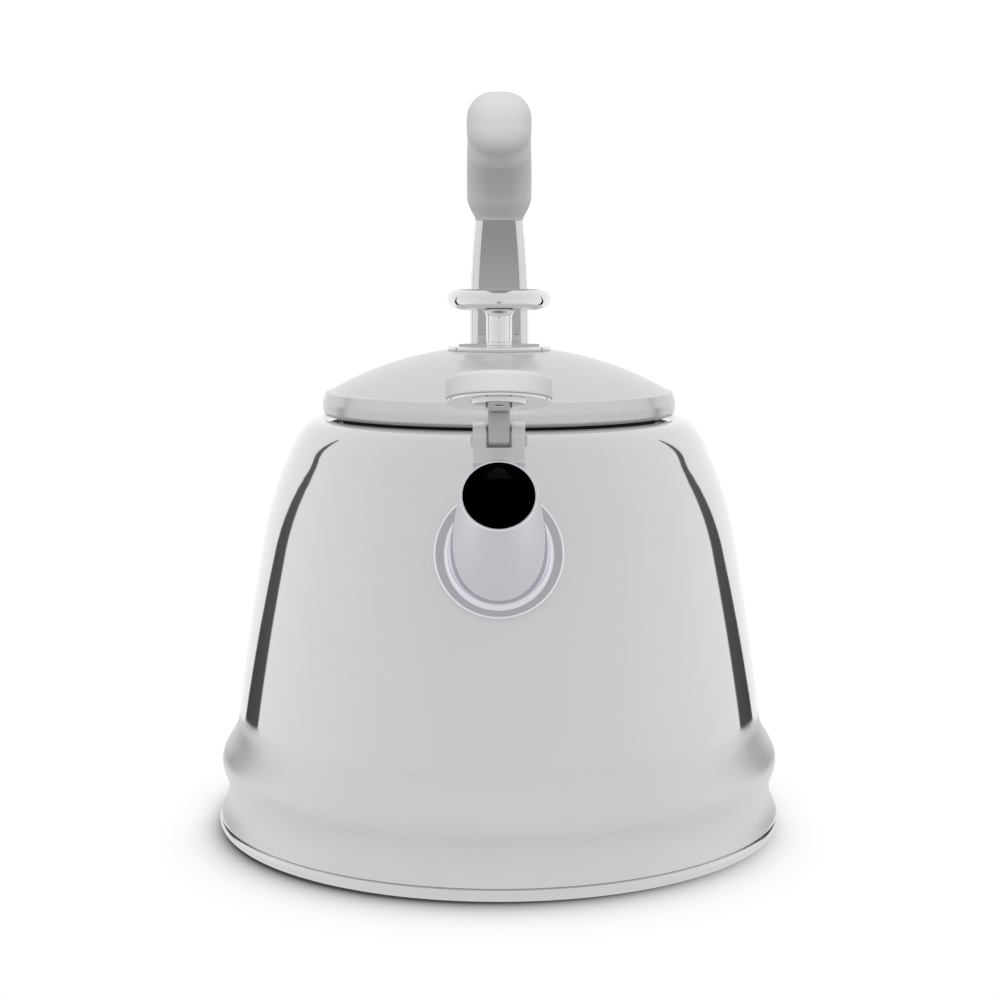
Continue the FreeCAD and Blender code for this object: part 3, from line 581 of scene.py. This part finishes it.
def make_lid():
    """Up the band, over a crease, in over the dome, down through the screw hole and back underneath."""
    band = softened([(57.3, LID_FOOT, 0.3), (58.6, 138.1, 1.4), (58.75, 141.0, 2.4), (57.75, 144.6, 0.35),
                     (55.2, 145.5)])[:-1]
    dome = arc_line((56.5, 144.85), (18, DOME_TOP), DOME_RADIUS, 40)
    under = arc_line((18, DOME_TOP - 1), (56.6, 143.3), 1 - DOME_RADIUS, 30)
    outline = np.concatenate([
        band, dome, [(2, DOME_TOP), (2, DOME_TOP - 1)], under, [(56.9, 141.6), (56.9, LID_FOOT + 0.3)]])
    return lathe("lid_dome", outline, "lid", darkened_lid_enamel, ["lid_shell"], turns=224, sharp=50)


make_lid()
ring = softened([
    (50.6, 124.3, 0.2), (RING_OUTSIDE, 124.3, 0.2), (RING_OUTSIDE, 138.3, 0.2), (56.9, 138.3, 0.1),
    (56.9, 139.1, 0.1), (50.6, 139.1, 0.9)])
lathe("locating_ring", ring, "lid", plain_steel, ["lid_locating_ring"], turns=160)
gasket = softened([
    (RING_OUTSIDE, 129.8, 0.2), (52.5, 129.8, 0.5), (53.1, 132.05, 0.8), (52.5, 134.3, 0.5), (52.1, 134.6),
    (52.1, 138.2), (RING_OUTSIDE, 138.2)])
# The seal is near-black silicone; in the gap under the lid it also stands in for shade: partly painted shade.
lathe("lid_gasket", gasket, "lid", silicone, ["lid_seal"], turns=160)
print("lid: foot %.1f mm, dome of %.0f mm radius" % (LID_FOOT, DOME_RADIUS))

# %% [markdown]
# ## The knob
# The knob is a thick chrome-plated disc with a full round edge, on a slim stem that flares to meet
# it. A thin plate spreads the load on the lid. All three are turned from bar, polished and plated.

# %% Knob
PLATE_TOP = 159.8
STEM = 4.35
KNOB_LOW = 171.7
KNOB_THICKNESS = 6.6
KNOB_FLAT = 14.1
SCREW = 2
plate = softened([
    (SCREW, DOME_TOP), (17.2, DOME_TOP, 0.3), (17.4, 159.0, 0.4), (17.2, PLATE_TOP, 0.5), (SCREW, PLATE_TOP)])
lathe("knob_base_plate", plate, "lid", chrome, ["knob_plate"], turns=160)
flare = arc_line((STEM, 169.0), (6.6, KNOB_LOW), -2.7, 10)
shaft = softened([
    (SCREW, PLATE_TOP), (4.1, PLATE_TOP, 0.15), (4.1, 161.0, 0.1), (STEM, 161.0, 0.1), (STEM, 169.0)])
pillar = np.concatenate([shaft[:-1], flare, [(SCREW, KNOB_LOW)]])
lathe("knob_pillar", pillar, "lid", chrome, ["knob_stem"], turns=128)


def make_knob():
    """A flat disc whose rim is a half circle, with a blind screw hole below."""
    rim = arc_line((KNOB_FLAT, KNOB_LOW), (KNOB_FLAT, KNOB_LOW + KNOB_THICKNESS), 3.3001, 28)
    top = [(13.9, 178.3), (9, 178.3), (0, 178.3)]
    hole = [(0, 175.7), (SCREW, 175.7), (SCREW, KNOB_LOW), (13.9, KNOB_LOW)]
    return lathe("knob", np.concatenate([hole, rim, top]), "lid", chrome, ["knob_disc"], turns=192)


make_knob()
print("knob: %.1f mm across, %.1f mm above the lid" % (2 * KNOB_FLAT + KNOB_THICKNESS, KNOB_LOW - DOME_TOP))

# %% [markdown]
# ## The spout
# The spout is a cone spun from stainless steel and polished until it mirrors the room. Its lip is
# rolled thin, and the tube is painted near-black inside, as the bell is: painted shade in the hollow.
# At its root a pressed collar follows the bell's curve and hides the joint. Its face is a darker copy
# of the polished steel, as painted shade, and its edges are polished.

# %% Spout
SPOUT_LENGTH = 41.8
CONE_WALL = 0.8
CONE_TAIL = -9
SPOUT_RINGS = (tuple(SPOUT_ROOT * MM), math.radians(90) - SPOUT_RISE)
polished = make_spun_steel(
    "polished_stainless_steel", "#EEEEF5", "#F4F4F9", (0.04, 0.1), 0.35, 0.0005, *SPOUT_RINGS)
# The collar's face is a darker copy of the spout's polished steel: painted shade on the face.
collar_steel_painted_darker = make_spun_steel(
    "pressed_stainless_steel_painted_darker", "#B4B4BA", "#C0C0C6", (0.06, 0.12), 0.35, 0.0005, *SPOUT_RINGS)


def spout_radius(along):
    """Outside radius of the cone, in mm: 15.2 at the root, falling to 10.8 at the mouth."""
    return 15.2 - 4.4 / SPOUT_LENGTH * along


def faces_spout(middles, normals):
    """The inside faces: those that look towards the spout's axis, apart from the rounded ones of the lip."""
    from_root = middles - SPOUT_ROOT * MM
    off = from_root - (from_root @ SPOUT_AXIS)[:, None] * SPOUT_AXIS
    return ((off * normals).sum(axis=1) < 0) & (np.abs(normals @ SPOUT_AXIS) < 0.2)


tail, mouth = spout_radius(CONE_TAIL), spout_radius(SPOUT_LENGTH)
cone = softened([
    (tail - CONE_WALL, CONE_TAIL, 0.2), (tail, CONE_TAIL, 0.2), (mouth, SPOUT_LENGTH, 0.38),
    (mouth - CONE_WALL, SPOUT_LENGTH, 0.38)], 6)
spout_cone = lathe("spout_cone", cone, "kettle", polished, ["spout_tube"], 160, on_spout)
# The inside of the spout is painted near-black: painted shade in the tube.
partly(spout_cone, painted_shade_enamel, faces_spout)

COLLAR_TILT = math.radians(13)
COLLAR_OUT = np.array([0, -math.cos(COLLAR_TILT), math.sin(COLLAR_TILT)])
COLLAR_UP = np.array([0, math.sin(COLLAR_TILT), math.cos(COLLAR_TILT)])
COLLAR_EDGE = 19.5
COLLAR_FACE = 2.8
COLLAR_STEPS = 192
FILLET_RADIUS = 1.2
EDGE_RADIUS = 0.7
POLISHED_ROWS = [*range(1, 5), *range(8, 13)]  # rows of faces: the fillet's, and the outer edge's


def on_bell(across, up, lift):
    """The point on the bell, lifted off it by `lift`, that stands behind a point of the collar's disc.

    From the disc's plane we walk out along its axis until the distance from the kettle's own axis is
    the bell's radius at that height, plus the lift. Eight steps of that correction are plenty.
    """
    start = SPOUT_ROOT + across[..., None] * np.array([1.0, 0, 0]) + up[..., None] * COLLAR_UP
    reach = np.zeros_like(across)
    for _ in range(8):
        point = start + reach[..., None] * COLLAR_OUT
        wall = np.interp(point[..., 2], bell_line[:, 1], bell_line[:, 0])
        reach += wall + lift - np.hypot(point[..., 0], point[..., 1])
    return start + reach[..., None] * COLLAR_OUT


def make_collar():
    """A ring on a grid: angle round the collar by steps through its section.

    A section point is (distance from the cone, height) near the cone and (distance in from the edge,
    height) near the edge. The first kind needs the radius at which the lifted bell meets the cone.
    """
    around = np.arange(COLLAR_STEPS) * 2 * math.pi / COLLAR_STEPS
    quarter = np.radians([0, 22, 45, 68, 90])
    fillet = [(FILLET_RADIUS * (1 - math.sin(a)), COLLAR_FACE + FILLET_RADIUS * (1 - math.cos(a)))
              for a in quarter[::-1]]
    inner = [(-0.2, 0.8), *fillet, (1.4, COLLAR_FACE)]
    bend = [(EDGE_RADIUS * (1 - math.sin(a)), COLLAR_FACE - EDGE_RADIUS * (1 - math.cos(a))) for a in quarter]
    outer = [(1.0, COLLAR_FACE), *bend, (0, 1.0), (0.2, 0.8)]
    rows = []
    for gap, lift in inner:
        radius = np.full(COLLAR_STEPS, 16.0)
        for _ in range(14):
            point = on_bell(radius * np.cos(around), radius * np.sin(around), lift) - SPOUT_ROOT
            along = point @ SPOUT_AXIS
            off = np.linalg.norm(point - along[:, None] * SPOUT_AXIS, axis=1)
            radius += spout_radius(along) - off
        rows.append(on_bell((radius + gap) * np.cos(around), (radius + gap) * np.sin(around), lift))
    for gap, lift in outer:
        radius = COLLAR_EDGE - gap
        rows.append(on_bell(radius * np.cos(around), radius * np.sin(around), np.full(COLLAR_STEPS, lift)))
    points = np.concatenate(rows) * MM
    ids = np.arange(len(points)).reshape(len(rows), COLLAR_STEPS)
    ids = np.concatenate([ids, ids[:1]])
    ids = np.concatenate([ids, ids[:, :1]], axis=1)
    return finish_mesh("collar", points, grid_faces(ids), "kettle", collar_steel_painted_darker, ["spout_collar"], 50)


def is_polished(middles, normals):
    """Picks whole rows of the collar's grid, whose faces are numbered row by row."""
    return np.isin(np.arange(len(middles)) // COLLAR_STEPS, POLISHED_ROWS)


partly(make_collar(), polished, is_polished)
print("spout: %.1f mm long, mouth %.1f mm across" % (SPOUT_LENGTH, 2 * spout_radius(SPOUT_LENGTH)))

# %% [markdown]
# ## The whistle's bracket and pin
# The bracket is a small steel casting brazed on top of the spout, with two ears and a slot between
# them. A pin through the ears carries the whistle. Every edge is broken so that it catches the light.


# %% Prisms
def prism(outline, low, high, place=None):
    """Points and faces of an outline (along, up) in mm, drawn out from x = low to x = high."""
    flat = np.asarray(outline, float)
    count = len(flat)
    sides = [np.column_stack([np.full(count, x), flat[:, 1], flat[:, 0]]) * MM for x in (low, high)]
    points = np.concatenate(sides)
    ring = np.arange(count)
    walls = np.column_stack([ring, np.roll(ring, -1), np.roll(ring, -1) + count, ring + count])
    faces = [*walls.tolist(), ring[::-1].tolist(), (ring + count).tolist()]
    return (place(points) if place else points), faces


def bevelled(piece, width, segments=3):
    """Breaks every sharp edge of a piece by a width in mm."""
    step = piece.modifiers.new("edges", "BEVEL")
    step.width, step.segments = width * MM, segments
    step.limit_method, step.angle_limit = "ANGLE", math.radians(40)
    step.harden_normals = True
    settle(piece)


def arc_points(along, up, radius, first, last, count=24):
    """Points on a circle between two angles in degrees, measured from the spout's axis."""
    angles = np.radians(np.linspace(first, last, count))
    return np.column_stack([along + radius * np.cos(angles), up + radius * np.sin(angles)])


# %% Bracket and pin
HINGE_ALONG = 34.75
HINGE_UP = 20.34
BRACKET_BACK, BRACKET_FRONT = 29.5, 40.5
BRACKET_HALF = 7.35
EYE_RADIUS = 5.8
EYE_FOOT = HINGE_UP - 1.84
SLOT_HALF = 3.65


def make_bracket():
    """An eye round the pin, standing on a block whose foot sinks into the cone, with a slot for the lever."""
    eye = arc_points(HINGE_ALONG, HINGE_UP, EYE_RADIUS, -18.5, 198.5, 36)
    low = [(BRACKET_BACK, EYE_FOOT), (BRACKET_BACK, 10.6), (BRACKET_FRONT, 10.4), (BRACKET_FRONT, EYE_FOOT)]
    block = prism(np.concatenate([eye, low])[::-1], -BRACKET_HALF, BRACKET_HALF, on_spout)
    piece = finish_mesh("bracket", *block, "kettle", satin, ["whistle_bracket"])
    slot = prism([(20, 15.2), (20, 40), (50, 40), (50, 15.2)], -SLOT_HALF, SLOT_HALF, on_spout)
    carve(piece, slot)
    bevelled(piece, 0.45)
    return piece


def on_hinge(points):
    """Turns a lathe piece to lie along X through the hinge."""
    laid = np.column_stack([points[:, 2], points[:, 1] + HINGE_UP * MM, HINGE_ALONG * MM - points[:, 0]])
    return on_spout(laid)


make_bracket()
pin = softened([
    (0, -8.05), (1.9, -8.05, 0.4), (1.9, -BRACKET_HALF, 0.1), (1.5, -BRACKET_HALF), (1.5, BRACKET_HALF),
    (1.9, BRACKET_HALF, 0.1), (1.9, 8.05, 0.4), (0, 8.05)])
lathe("pin", pin, "kettle", plain_steel, ["whistle_pin"], 64, on_hinge)

# %% [markdown]
# ## The whistle
# The whistle is a thin chrome plate with a shallow cup that plugs the spout, a second plate behind
# it, and a moulded cap over both. Steam that is forced through the small holes makes the note.
# It hangs from a lever, which a finger tips back to pour. It is drawn open, as it stands at rest.

# %% Whistle
WHISTLE_OPEN = 71.6  # degrees from closed, on the mouth, to open, as at rest
WHISTLE_TURN = math.pi / 2 - SPOUT_RISE - math.radians(WHISTLE_OPEN)
CAP = 14.6
PLATE = 14.3
CAP_LOW, CAP_HIGH = 42.9, 49.1
HUB = 4.3
LEVER_HALF = 3.15
LEVER_BORE = 1.55
TONGUE_FRONT = 45.0
HINGE = SPOUT_ROOT + HINGE_UP * SPOUT_UP + HINGE_ALONG * SPOUT_AXIS
WHISTLE_AXIS = np.array([0, -math.sin(WHISTLE_TURN), math.cos(WHISTLE_TURN)])
WHISTLE_UP = np.array([0, math.cos(WHISTLE_TURN), math.sin(WHISTLE_TURN)])


def on_whistle(points):
    """As on the spout, but turned about the hinge: hinge + x X + (y - up) U + (z - along) A."""
    own = points - np.array([0, HINGE_UP, HINGE_ALONG]) * MM
    across = own[:, :1] * np.array([1.0, 0, 0])
    return HINGE * MM + across + own[:, 1:2] * WHISTLE_UP + own[:, 2:3] * WHISTLE_AXIS


def make_cap():
    """A cup, open towards the spout, with a hole for the sound and a slot that the lever runs in."""
    outline = softened([
        (13.2, CAP_LOW, 0.1), (CAP, CAP_LOW, 0.6), (CAP, CAP_HIGH, 1.5), (2.2, CAP_HIGH, 0.4),
        (2.2, 47.7, 0.3), (13.2, 47.7, 0.5)], 7)
    piece = lathe("cap", outline, "whistle", soft_touch, ["whistle_cap"], 160, on_whistle)
    carve(piece, prism([(42, 1), (42, 29), (45.3, 29), (45.3, 1)], -2.8, 2.8, on_whistle))
    crease(piece.data, 35)
    return piece


def make_plate():
    """A disc pressed out in the middle, so that its cup sits in the spout's mouth."""
    outline = softened([
        (1.6, 41.4, 0.2), (8.25, 41.4, 0.4), (8.25, 42.1, 0.2), (PLATE, 42.1, 0.25), (PLATE, CAP_LOW, 0.25),
        (7.45, CAP_LOW, 0.3), (7.45, 42.2, 0.3), (1.6, 42.2, 0.2)])
    return lathe("plate", outline, "whistle", chrome, ["whistle_plate"], 160, on_whistle)


def across_lever(points):
    """Turns a rod to lie along X through the hinge, as the lever's bore does."""
    laid = np.column_stack([points[:, 2], points[:, 1] + HINGE_UP * MM, HINGE_ALONG * MM - points[:, 0]])
    return on_whistle(laid)


def make_lever():
    """Hub and post 6.3 mm wide, and a thinner tongue that runs down inside the cap."""
    hub = arc_points(HINGE_ALONG, HINGE_UP, HUB, -1.3, 270, 40)
    post = [(TONGUE_FRONT, HINGE_UP - HUB), (TONGUE_FRONT, HINGE_UP - 0.1)]
    body = prism(np.concatenate([hub, post])[::-1], -LEVER_HALF, LEVER_HALF, on_whistle)
    piece = finish_mesh("lever", *body, "whistle", blasted, ["whistle_lever"])
    tongue = prism([(43.4, 4.5), (43.4, 18), (TONGUE_FRONT, 18), (TONGUE_FRONT, 4.5)], -2.5, 2.5, on_whistle)
    carve(piece, tongue, operation="UNION")
    carve(piece, rod(LEVER_BORE, -9, 9, across_lever, 48))
    bevelled(piece, 0.4)
    return piece


make_cap()
make_plate()
make_lever()
print("whistle: %.1f mm cap, turned %.1f degrees" % (2 * CAP, math.degrees(WHISTLE_TURN)))

# %% [markdown]
# ## The handle
# One upright bar of chromed steel stands behind the lid. Its top narrows to a tang, which turns
# forward inside the grip. The grip is moulded over the tang: a rounded block, about as wide as the
# bar, with a blunt nose. Its lower end tapers in and laps over the top of the bar.


# %% Sweeps
def rounded_section(width, depth, rounding, count=40):
    """A rounded rectangle about the origin, with `count` points in each quarter arc."""
    centres = np.array([(1, 1), (-1, 1), (-1, -1), (1, -1)]) * [width / 2 - rounding, depth / 2 - rounding]
    angles = np.linspace(0, math.pi / 2, count)
    arcs = []
    for quarter, centre in enumerate(centres):
        turned = angles + quarter * math.pi / 2
        arcs.append(centre + rounding * np.column_stack([np.cos(turned), np.sin(turned)]))
    return np.concatenate(arcs)


def swept(sections, origins, backs):
    """Points and faces of sections carried along a path in the plane x = 0, with both ends closed.

    Station i puts a section point (u, v) at origin_i + u X + v back_i. The ends are fans to their middle.
    """
    sections, origins, backs = (np.asarray(part, float) for part in (sections, origins, backs))
    rows = origins[:, None] + sections[..., :1] * np.array([1.0, 0, 0]) + sections[..., 1:] * backs[:, None]
    count = rows.shape[1]
    points = np.concatenate([rows.reshape(-1, 3), rows[[0, -1]].mean(axis=1)]) * MM
    ids = np.arange(rows.shape[0] * count).reshape(rows.shape[0], count)
    ends = np.full((2, count), [[len(points) - 2], [len(points) - 1]])
    ids = np.concatenate([ends[:1], ids, ends[1:]])
    return points, grid_faces(np.concatenate([ids, ids[:, :1]], axis=1))


# %% Handle
ARM_OUT, ARM_TOP, BEND = 84.0, 204.0, 27.5
ARM_WIDTH, ARM_THICKNESS, ARM_LENGTH = 22.2, 9, 109
ARM_END, ARM_ROUND = 0.8, 3.2
FLARE_HEIGHT, FLARE_RADIUS = 162, 402
GRIP_DEPTH = 21
SCREW_THREAD = 2.5


def handle_path(distances):
    """Where the grip's middle line is after each distance from the bar's top, and which way is its back.

    It runs up to 0 mm, round a quarter circle of 27.5 mm radius, and then level towards the front.
    """
    turn = np.clip(distances / BEND, 0, math.pi / 2)
    level = np.maximum(distances - BEND * math.pi / 2, 0)
    below = np.minimum(distances, 0)
    out, height = ARM_OUT - BEND + BEND * np.cos(turn) - level, ARM_TOP + BEND * np.sin(turn) + below
    origin = np.column_stack([0 * turn, out, height])
    back = np.column_stack([0 * turn, np.cos(turn), np.sin(turn)])
    return origin, back


def rounded_ends(distances, low, high, rounding):
    """How far a section shrinks in from its full size near the ends, in mm: a quarter circle."""
    near = np.clip(np.minimum(distances - low, high - distances), 0, rounding)
    return rounding - np.sqrt(rounding ** 2 - (rounding - near) ** 2)


def arm_width(height):
    """22.2 mm wide up to z = 162, then narrowing along an arc to 17.8 mm at the top."""
    above = np.clip(height - FLARE_HEIGHT, 0, None)
    return ARM_WIDTH - 2 * (FLARE_RADIUS - np.sqrt(FLARE_RADIUS ** 2 - above ** 2)) * 2.2 / 2.2017


def make_arm():
    """The bar has softly rounded ends; the tang is a thinner bar that leaves its top."""
    end = np.array([0, 0.05, 0.2, 0.45, ARM_END])
    middle = np.linspace(1.2, ARM_LENGTH - 1.2, 48)
    heights = np.concatenate([end, middle, ARM_LENGTH - end[::-1]]) - ARM_LENGTH
    shrink = rounded_ends(heights, -ARM_LENGTH, 0, ARM_END)
    widths = arm_width(heights + ARM_TOP)
    sections = [rounded_section(width - 2 * s, ARM_THICKNESS - 2 * s, ARM_ROUND - s, 16)
                for width, s in zip(widths, shrink)]
    piece = finish_mesh("arm", *swept(sections, *handle_path(heights)), "kettle", chrome, ["handle_arm"])
    lengths = np.concatenate([[-2], np.linspace(0, BEND * math.pi / 2, 16), [43.2 + 52.4]])
    tang = swept([rounded_section(12, 4, 1, 6)] * len(lengths), *handle_path(lengths))
    carve(piece, tang, operation="UNION")
    carve(piece, *(rod(SCREW_THREAD, 75, 85.5, backward(height)) for height in SCREW_HEIGHTS))
    crease(piece.data, 35)
    return piece


def make_grip():
    """The grip is 24.1 mm wide low in its bend and 21.1 mm where its nose begins.

    Its lower end tapers over 9 mm to 18 mm by 13 mm, and laps 0.9 mm over the bar. Over the last 11 mm,
    as s runs from 0 to 1, the section shrinks by (1 - s ** 2.5) ** (1 / 2.5). That closes the nose with
    one round surface, blunter than a ball.
    """
    length = BEND * math.pi / 2 + ARM_OUT - BEND + 19.5
    nose = 11.0
    steps = np.concatenate([
        np.linspace(-0.9, 10, 17), np.linspace(10, length - nose, 60)[1:],
        length - nose * (1 - np.sin(np.linspace(0, math.pi / 2, 30)[1:]))])
    near = np.clip((steps - (length - nose)) / nose, 0, 1)
    closing = np.maximum(1 - near ** 2.5, 1e-6) ** 0.4
    neck = 1 - np.sin(np.clip(steps / 9, 0, 1) * math.pi / 2)
    wide = np.interp(steps, [0, 20, 60, length], [24.2, 24.0, 21.8, 20.9])
    sections = [rounded_section((w - 6.2 * t) * c, (GRIP_DEPTH - 8.0 * t) * c, (8.6 - 3.6 * t) * c, 14)
                for w, c, t in zip(wide, closing, neck)]
    points, faces = swept(sections, *handle_path(steps))
    return finish_mesh("grip", points, faces, "kettle", soft_touch, ["handle_grip"], 60)


make_arm()
make_grip()
print("handle: bar %.1f x %.1f mm, grip %.0f mm deep" % (ARM_WIDTH, ARM_THICKNESS, GRIP_DEPTH))

# %% [markdown]
# ## Pieces that keep their first shape
# Seals, washers, screws and the liner under the grip are small or hidden, so the frame's own shapes
# are good enough. Each takes the finish of what it is made from.

# %% Finishes of the other parts
for finish, names in (
    (aluminium, ["heat_spreader"]),
    (silicone, ["spout_seal", "handle_seals"]),
    (nylon, ["whistle_washers", "grip_liner"]),
    (chrome, ["handle_saddle"]),
    (plain_steel, ["spout_inner_ring", "handle_screws", "knob_washer", "knob_screw", "whistle_sounding_disc",
                   "whistle_rivet"]),
):
    for name in names:
        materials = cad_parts[name].data.materials
        materials.clear()
        materials.append(finish)
print("carried over: finishes set")

# %% [markdown]
# ## The studio
# The kettle stands in a tent of white cloth that is lit from outside, so light comes from all round.
# It is a little weaker on the camera's side, and that is what gives the body its shape. Two black
# flags draw the dark streaks down the enamel, and a small grey card gives the handle a dark face. The
# table is a lit sheet with a painted shadow: a formula darkens it round the foot of the base.


# %% Light, cards and table
def stand(name, corners, strength, camera=False, diffuse=True, glossy=True, faces=None):
    """A glowing sheet through corners in metres.

    `strength` is a number, or a function that builds the socket that sets it.
    """
    mesh = bpy.data.meshes.new(name)
    mesh.from_pydata([tuple(corner) for corner in corners], [], faces or [tuple(range(len(corners)))])
    piece = bpy.data.objects.new(name, mesh)
    bpy.context.scene.collection.objects.link(piece)
    light = bpy.data.materials.new(name)
    light.use_nodes = True
    tree = light.node_tree
    tree.nodes.clear()
    glow = add(tree, "ShaderNodeEmission", {"Strength": strength(tree) if callable(strength) else strength})
    out = add(tree, "ShaderNodeOutputMaterial")
    tree.links.new(glow.outputs[0], out.inputs["Surface"])
    mesh.materials.append(light)
    piece.visible_camera = camera
    piece.visible_diffuse = diffuse
    piece.visible_glossy = glossy
    piece.visible_shadow = False
    return piece


def flag(side, stations):
    """A black card on one side (-1 or 1), through stations of (x, y, z, half width), from its foot up."""
    across = np.array([0.81, -0.58, 0])
    middles = np.array([station[:3] for station in stations])
    halves = np.array([station[3:] for station in stations])
    near, far = middles - across * halves, middles + across * halves
    edge = np.concatenate([near, far[::-1]]) * [side, 1, 1]
    stand("black_flag", edge.tolist(), 0.0, diffuse=False)


def painted_base_shadow(tree):
    """1.004 - e ** (-d / s), where d is the distance outside a circle of 90.2 mm under the base.

    The shadow is painted, not cast: it lies a little to the left and front, and reaches further to the
    front than to the sides: s is 4 mm plus 3.6 mm times the part of the way out that lies along Y. The
    level never falls below 0.06.
    """
    place = add(tree, "ShaderNodeTexCoord").outputs["Object"]
    place = add(tree, "ShaderNodeVectorMath", {0: place, 1: (0.0022, 0.0037, 0)}, operation="ADD").outputs[0]
    way = add(tree, "ShaderNodeVectorMath", {0: place}, operation="NORMALIZE").outputs[0]
    along = add(tree, "ShaderNodeSeparateXYZ", {"Vector": way}).outputs["Y"]
    along = add(tree, "ShaderNodeMath", {0: along}, operation="ABSOLUTE").outputs[0]
    spread = {0: along, 1: -0.0036, 2: -0.004}
    reach = add(tree, "ShaderNodeMath", spread, operation="MULTIPLY_ADD").outputs[0]
    radius = add(tree, "ShaderNodeVectorMath", {0: place}, operation="LENGTH").outputs["Value"]
    beyond = add(tree, "ShaderNodeMath", {0: radius, 1: 0.0902}, operation="SUBTRACT").outputs[0]
    power = add(tree, "ShaderNodeMath", {0: beyond, 1: reach}, operation="DIVIDE").outputs[0]
    fall = add(tree, "ShaderNodeMath", {0: power}, operation="EXPONENT").outputs[0]
    level = add(tree, "ShaderNodeMath", {0: 1.004, 1: fall}, operation="SUBTRACT").outputs[0]
    return add(tree, "ShaderNodeMath", {0: level, 1: 0.06}, operation="MAXIMUM").outputs[0]


def tent_light(tree):
    """From 0.75 behind the camera to 1.02 behind the kettle, and a little less overhead.

    With (x, y, z) the direction from the kettle, the level follows y - 0.7 z.
    """
    place = add(tree, "ShaderNodeTexCoord").outputs["Object"]
    way = add(tree, "ShaderNodeVectorMath", {0: place}, operation="NORMALIZE").outputs[0]
    both = {0: way, 1: (0, 1, -0.7)}
    lean = add(tree, "ShaderNodeVectorMath", both, operation="DOT_PRODUCT").outputs["Value"]
    levels = {"Value": lean, "From Min": -1.0, "From Max": 1.0, "To Min": 0.75, "To Max": 1.02}
    return add(tree, "ShaderNodeMapRange", levels).outputs[0]


def card_light(tree):
    """Falls from 0.42 to 0.3 as the card rises from 165 to 205 mm above the table.

    The card stands behind the knob, where only the bar sees much of it.
    """
    place = add(tree, "ShaderNodeTexCoord").outputs["Object"]
    height = add(tree, "ShaderNodeSeparateXYZ", {"Vector": place}).outputs["Z"]
    levels = {"Value": height, "From Min": 0.165, "From Max": 0.205, "To Min": 0.42, "To Max": 0.3}
    return add(tree, "ShaderNodeMapRange", levels, interpolation_type="SMOOTHSTEP").outputs[0]


TABLE = [(-6, -3, 0), (6, -3, 0), (6, 6, 0), (-6, 6, 0)]


def lowered(by):
    return [(x, y, -by) for x, y, _ in TABLE]


world = bpy.data.worlds.new("white_room")
world.use_nodes = True
world.node_tree.nodes["Background"].inputs["Color"].default_value = (1, 1, 1, 1)
world.node_tree.nodes["Background"].inputs["Strength"].default_value = 1.05
bpy.context.scene.world = world
# The table carries a painted shadow round the base, drawn by a formula and not cast by the kettle.
stand("table", TABLE, painted_base_shadow, camera=True, diffuse=False, glossy=False)
stand("table_light", lowered(0.001), 0.45, glossy=False)
stand("table_shine", lowered(0.002), tent_light, diffuse=False)
TENT = 4  # metres
turns = np.arange(48) * 2 * math.pi / 48
heights = np.radians(np.linspace(-2, 90, 24))
dome = TENT * np.concatenate([
    np.column_stack([np.cos(turns) * np.cos(h), np.sin(turns) * np.cos(h), 0 * turns + np.sin(h)])
    for h in heights])
ids = np.arange(len(dome)).reshape(24, 48)
stand("tent", dome, tent_light, faces=grid_faces(np.concatenate([ids, ids[:, :1]], axis=1)))
CARD_HALF, CARD_BACK, CARD_LOW, CARD_HIGH = 0.014, 0.028, 0.1595, 0.21
card = [(-CARD_HALF, CARD_BACK, CARD_LOW), (CARD_HALF, CARD_BACK, CARD_LOW),
        (CARD_HALF, CARD_BACK, CARD_HIGH), (-CARD_HALF, CARD_BACK, CARD_HIGH)]
stand("small_card", card, card_light, diffuse=False)
for side in (-1, 1):
    flag(side, [(0.221, 0.117, 0.002, 0.036), (0.241, 0.072, 0.175, 0.0128), (0.25, 0.082, 0.28, 0.003)])

lamp = bpy.data.objects.new("soft_box", bpy.data.lights.new("soft_box", "AREA"))
lamp.data.size = 0.9
lamp.data.energy = 12
lamp.location = (0, -1.3, 0.95)
lamp.rotation_euler = (math.radians(57.4), 0, 0)
lamp.visible_glossy = False
bpy.context.scene.collection.objects.link(lamp)
bpy.context.scene.view_settings.view_transform = "Standard"
